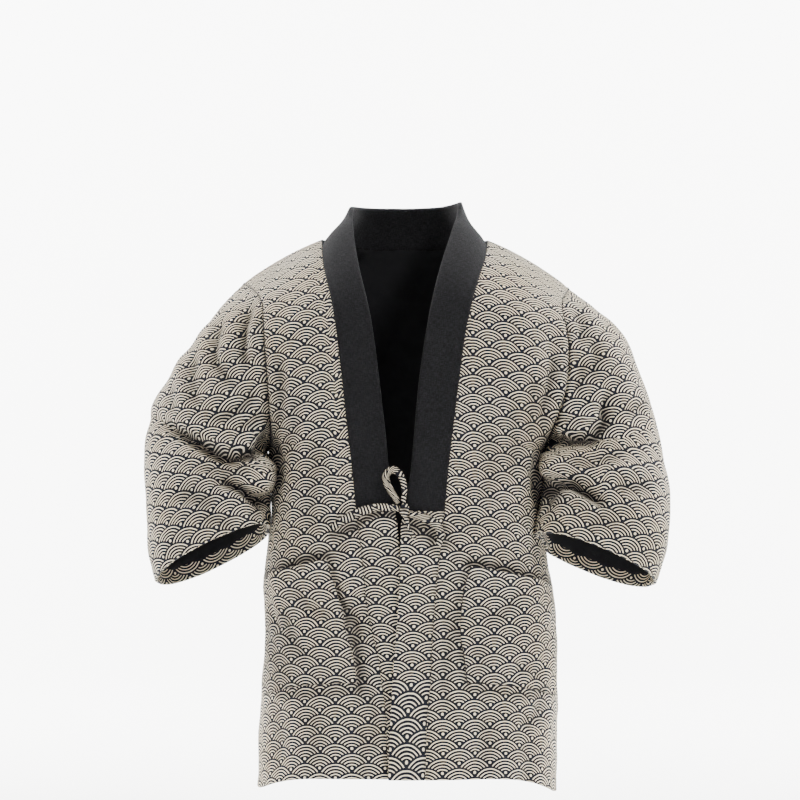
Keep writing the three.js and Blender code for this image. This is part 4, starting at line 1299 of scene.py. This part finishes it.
# Patch pockets lie on their front's own folds; the mouth stands off
def sample(points, rows, columns):
    """Bilinear place in a grid at fractional rows and columns."""
    i = np.clip(np.floor(rows).astype(int), 0, points.shape[0] - 2)
    j = np.clip(np.floor(columns).astype(int), 0, points.shape[1] - 2)
    a = (rows - i)[..., None]
    b = (columns - j)[..., None]
    low = points[i, j] * (1 - b) + points[i, j + 1] * b
    high = points[i + 1, j] * (1 - b) + points[i + 1, j + 1] * b
    return low * (1 - a) + high * a


for side, (mouth_inner, mouth_outer) in POCKETS.items():
    name = "pocket_" + side_name(side)
    body, sign = front_folded[side]
    h = np.linspace(POCKET_FOOT, POCKET_MOUTH, POCKET_ROWS + 1)[:, None]
    share = np.linspace(0, 1, POCKET_COLUMNS + 1)[None, :]
    edge_x = panel_edge(ARMHOLE_FRONT, side, h)[0]
    square = column(FRONT_MIDDLE, "h", "square", h)
    line = np.abs(column(FRONT_LINES, "h", side_name(side) + "_pocket", h))
    first = np.arcsin(np.power(line / edge_x, square / 2))
    turn = first + (POCKET_SIDE_TURN - first) * share
    x = edge_x * np.power(np.sin(turn), 2 / square)
    up = (h - POCKET_FOOT) / (POCKET_MOUTH - POCKET_FOOT)
    rise = (mouth_inner + (mouth_outer - mouth_inner) * share) * up
    h = h + rise
    # the same place in the front's grid
    seam = np.abs(column(FRONT_LINES, "h", side_name(side) + "_seam", h))
    edge_x = panel_edge(ARMHOLE_FRONT, side, h)[0]
    square = column(FRONT_MIDDLE, "h", "square", h)
    seam_turn = np.arcsin(np.power(seam / edge_x, square / 2))
    here = np.arcsin(np.power(np.minimum(1, x / edge_x), square / 2))
    columns = (here - seam_turn) / (np.pi / 2 - seam_turn) * FRONT_COLUMNS
    rows = h / SHOULDER * BODY_ROWS
    p = sample(body, rows, columns)
    n = sample(normals_of(body, sign), rows, columns)
    n = unit(n)
    bow = np.sin(np.pi * share)
    puff = POCKET_PUFF * bow * np.sin(np.pi * np.minimum(1, up * 1.2))
    off = POCKET_CLEAR + puff + POCKET_GAPE * bow * up**3
    p = p + n * (off + POCKET_WALL)[..., None]
    flat = p.copy()
    p = creased(name, p, sign, ("first", "last", "foot"), slack=0.6)
    along = running(flat * np.array([1.0, 1.0, 0.0]), 1)
    slope = np.abs(flat[:, :1, 0])
    start = PRINT_START[name]
    piece = sheet_object(
        name, p, side * (along + slope) + start[0], flat[..., 2] + start[1] + PRINT_FAR, sign,
        POCKET_WALL, POCKET_ROUND, printed_cotton, lining_cotton,
    )
    finish_piece(name, piece)


# Ties
def off_front(x, z, off):
    """Place at a distance off collar and bands, near the middle of the front."""
    order = np.argsort(FRONT_MIDDLE["z"])
    h = np.interp(z, FRONT_MIDDLE["z"][order], FRONT_MIDDLE["h"][order])
    left = front_point(-1, x, h)[..., 1]
    right = front_point(1, x, h)[..., 1]
    y = np.where(x < 0, left, right)
    return np.stack([x, y - STRIP_PROUD - off, z], axis=-1)


def through(stations, values, at):
    """A smooth curve through the stations' values."""
    values = np.asarray(values, dtype=float)
    if values.ndim == 1:
        values = values[:, None]
    padded = np.concatenate([2 * values[:1] - values[1:2], values, 2 * values[-1:] - values[-2:-1]])
    k = np.clip(np.floor(at).astype(int), 0, stations - 2)
    t = (at - k)[:, None]
    a, b, c, d = padded[k], padded[k + 1], padded[k + 2], padded[k + 3]
    return 0.5 * (
        2 * b + (c - a) * t + (2 * a - 5 * b + 4 * c - d) * t**2 + (3 * b - 3 * c + d - a) * t**3
    )


for name, rows in TAPES.items():
    stations = len(rows["x"])
    centres = off_front(rows["x"], rows["z"], rows["off"])
    at = np.linspace(0, stations - 1, (stations - 1) * 8 + 1)
    centre = through(stations, centres, at)
    along = unit(np.gradient(centre, axis=0))
    wide = through(stations, rows["wide"], at)[:, 0]
    turn = np.radians(through(stations, rows["turn"], at)[:, 0])
    face = unit(np.array([0.0, -1.0, 0.0]) - along * (-along[:, 1:2]))
    turned_face = face * np.cos(turn)[:, None] + np.cross(along, face) * np.sin(turn)[:, None]
    side_way = np.cross(turned_face, along)
    share = np.linspace(-0.5, 0.5, 9)
    # a folded tape: its edges curl back and its middle is creased
    curl = -1.9 * (2 * share) ** 2 + 0.7 * np.exp(-((share / 0.12) ** 2))
    ripple = 0.5 * np.sin(at * 4.2)[:, None] * np.cos(share * 7)[None, :]
    p = (
        centre[:, None]
        + side_way[:, None] * (wide[:, None] * share[None, :])[..., None]
        + turned_face[:, None] * (curl[None, :] + ripple + TAPE_WALL / 2)[..., None]
    )
    # painted shade: the tape is darker towards its curled edges, and a little darker all over
    PAINTED_SHADE[name] = 0.8 * np.abs(2 * share[None, :]) ** 3 + 0.15 + 0 * p[..., 0]
    sign = 1 if np.sum(normals_of(p, 1) * turned_face[:, None]) > 0 else -1
    length = running(p, 0)
    piece = sheet_object(
        name, p, running(p, 1) + 10, length + 3, sign, TAPE_WALL, TAPE_ROUND,
        printed_cotton, printed_cotton,
    )
    finish_piece(name, piece)

# The knot: two turns of tape drawn tight, as a lump with its folds
bm = bmesh.new()
bmesh.ops.create_uvsphere(bm, u_segments=48, v_segments=32, radius=0.5)
uv = bm.loops.layers.uv.new("cloth")
dark = bm.verts.layers.float.new("trough")
centre = off_front(np.array(KNOT["x"]), np.array(KNOT["z"]), np.array(KNOT["off"]))
for vert in bm.verts:
    x, y, z = vert.co
    around = math.atan2(y, x)
    wrap = math.sin(9.0 * z + 1.2 * around)
    swell = 1 + 0.1 * wrap + 0.05 * math.sin(3 * around + 5 * z)
    # painted shade in the hollows between the turns of tape
    vert[dark] = max(0.15, -wrap)
    vert.co = (
        (centre[0] + x * KNOT["wide"] * swell) / 1000,
        (centre[1] + y * KNOT["deep"] * swell) / 1000,
        (centre[2] + z * KNOT["high"]) / 1000,
    )
for face in bm.faces:
    face.smooth = True
    for loop in face.loops:
        c = loop.vert.co
        loop[uv].uv = (c.x + 0.4 * c.y, c.z)
mesh = bpy.data.meshes.new("tie_knot_cloth")
bm.to_mesh(mesh)
bm.free()
mesh.materials.append(printed_cotton)
knot = bpy.data.objects.new("tie_knot_cloth", mesh)
bpy.context.scene.collection.objects.link(knot)
finish_piece("tie_knot", knot)

# Studio: a pale floor that sweeps up all round, so every view ends in it
FLOOR_Z = -0.86
FLOOR_FLAT = 2.6
FLOOR_RIM = 4.6
floor_material = bpy.data.materials.new("studio_paper")
floor_material.use_nodes = True
tree = floor_material.node_tree
shader = tree.nodes["Principled BSDF"]
shader.inputs["Base Color"].default_value = linear(STUDIO)
shader.inputs["Roughness"].default_value = 0.95
bm = bmesh.new()
profile = [bm.verts.new((0.0, 0.0, FLOOR_Z)), bm.verts.new((FLOOR_FLAT, 0.0, FLOOR_Z))]
for k in range(1, 13):
    angle = math.radians(90 * k / 12)
    reach = FLOOR_RIM - FLOOR_FLAT
    out, up = reach * math.sin(angle), reach * (1 - math.cos(angle))
    profile.append(bm.verts.new((FLOOR_FLAT + out, 0.0, FLOOR_Z + up)))
edges = [bm.edges.new(pair) for pair in zip(profile[:-1], profile[1:])]
bmesh.ops.spin(
    bm, geom=profile + edges, cent=(0, 0, 0), axis=(0, 0, 1), angle=math.radians(360), steps=96,
    use_merge=True,
)
bmesh.ops.remove_doubles(bm, verts=bm.verts, dist=1e-5)
bmesh.ops.recalc_face_normals(bm, faces=bm.faces)
for face in bm.faces:
    face.smooth = True
mesh = bpy.data.meshes.new("floor")
bm.to_mesh(mesh)
bm.free()
mesh.materials.append(floor_material)
floor = bpy.data.objects.new("floor", mesh)
bpy.context.scene.collection.objects.link(floor)

world = bpy.data.worlds.new("studio")
bpy.context.scene.world = world
world.use_nodes = True
world.node_tree.nodes["Background"].inputs["Color"].default_value = linear("#ffffff")
world.node_tree.nodes["Background"].inputs["Strength"].default_value = 0.2

# Soft lamps: place, size (all metres), watts, and the place each is aimed at
LIGHTS = {
    "key": (1.7, -1.7, 2.1, 0.7, 118.0, 0.0, 0.0, -0.35),
    "fill": (-2.2, -2.4, 0.4, 1.4, 26.0, 0.0, 0.0, -0.35),
    "top": (-0.5, -0.6, 2.6, 0.9, 50.0, 0.0, 0.0, -0.3),
    "wall_left": (-2.2, 0.9, 1.6, 1.6, 760.0, -0.6, 4.2, 0.2),
    "wall_right": (2.2, 0.9, 1.6, 1.6, 760.0, 0.6, 4.2, 0.2),
}
for name, (x, y, z, size, watts, *aimed_at) in LIGHTS.items():
    data = bpy.data.lights.new(name, "AREA")
    data.shape = "SQUARE"
    data.size = size
    data.energy = watts
    lamp = bpy.data.objects.new(name, data)
    lamp.location = (x, y, z)
    aim = np.array(aimed_at) - (x, y, z)
    flat = math.hypot(aim[0], aim[1])
    lamp.rotation_euler = (
        math.radians(90) + math.atan2(aim[2], flat),
        0.0,
        math.atan2(aim[1], aim[0]) - math.radians(90),
    )
    bpy.context.scene.collection.objects.link(lamp)
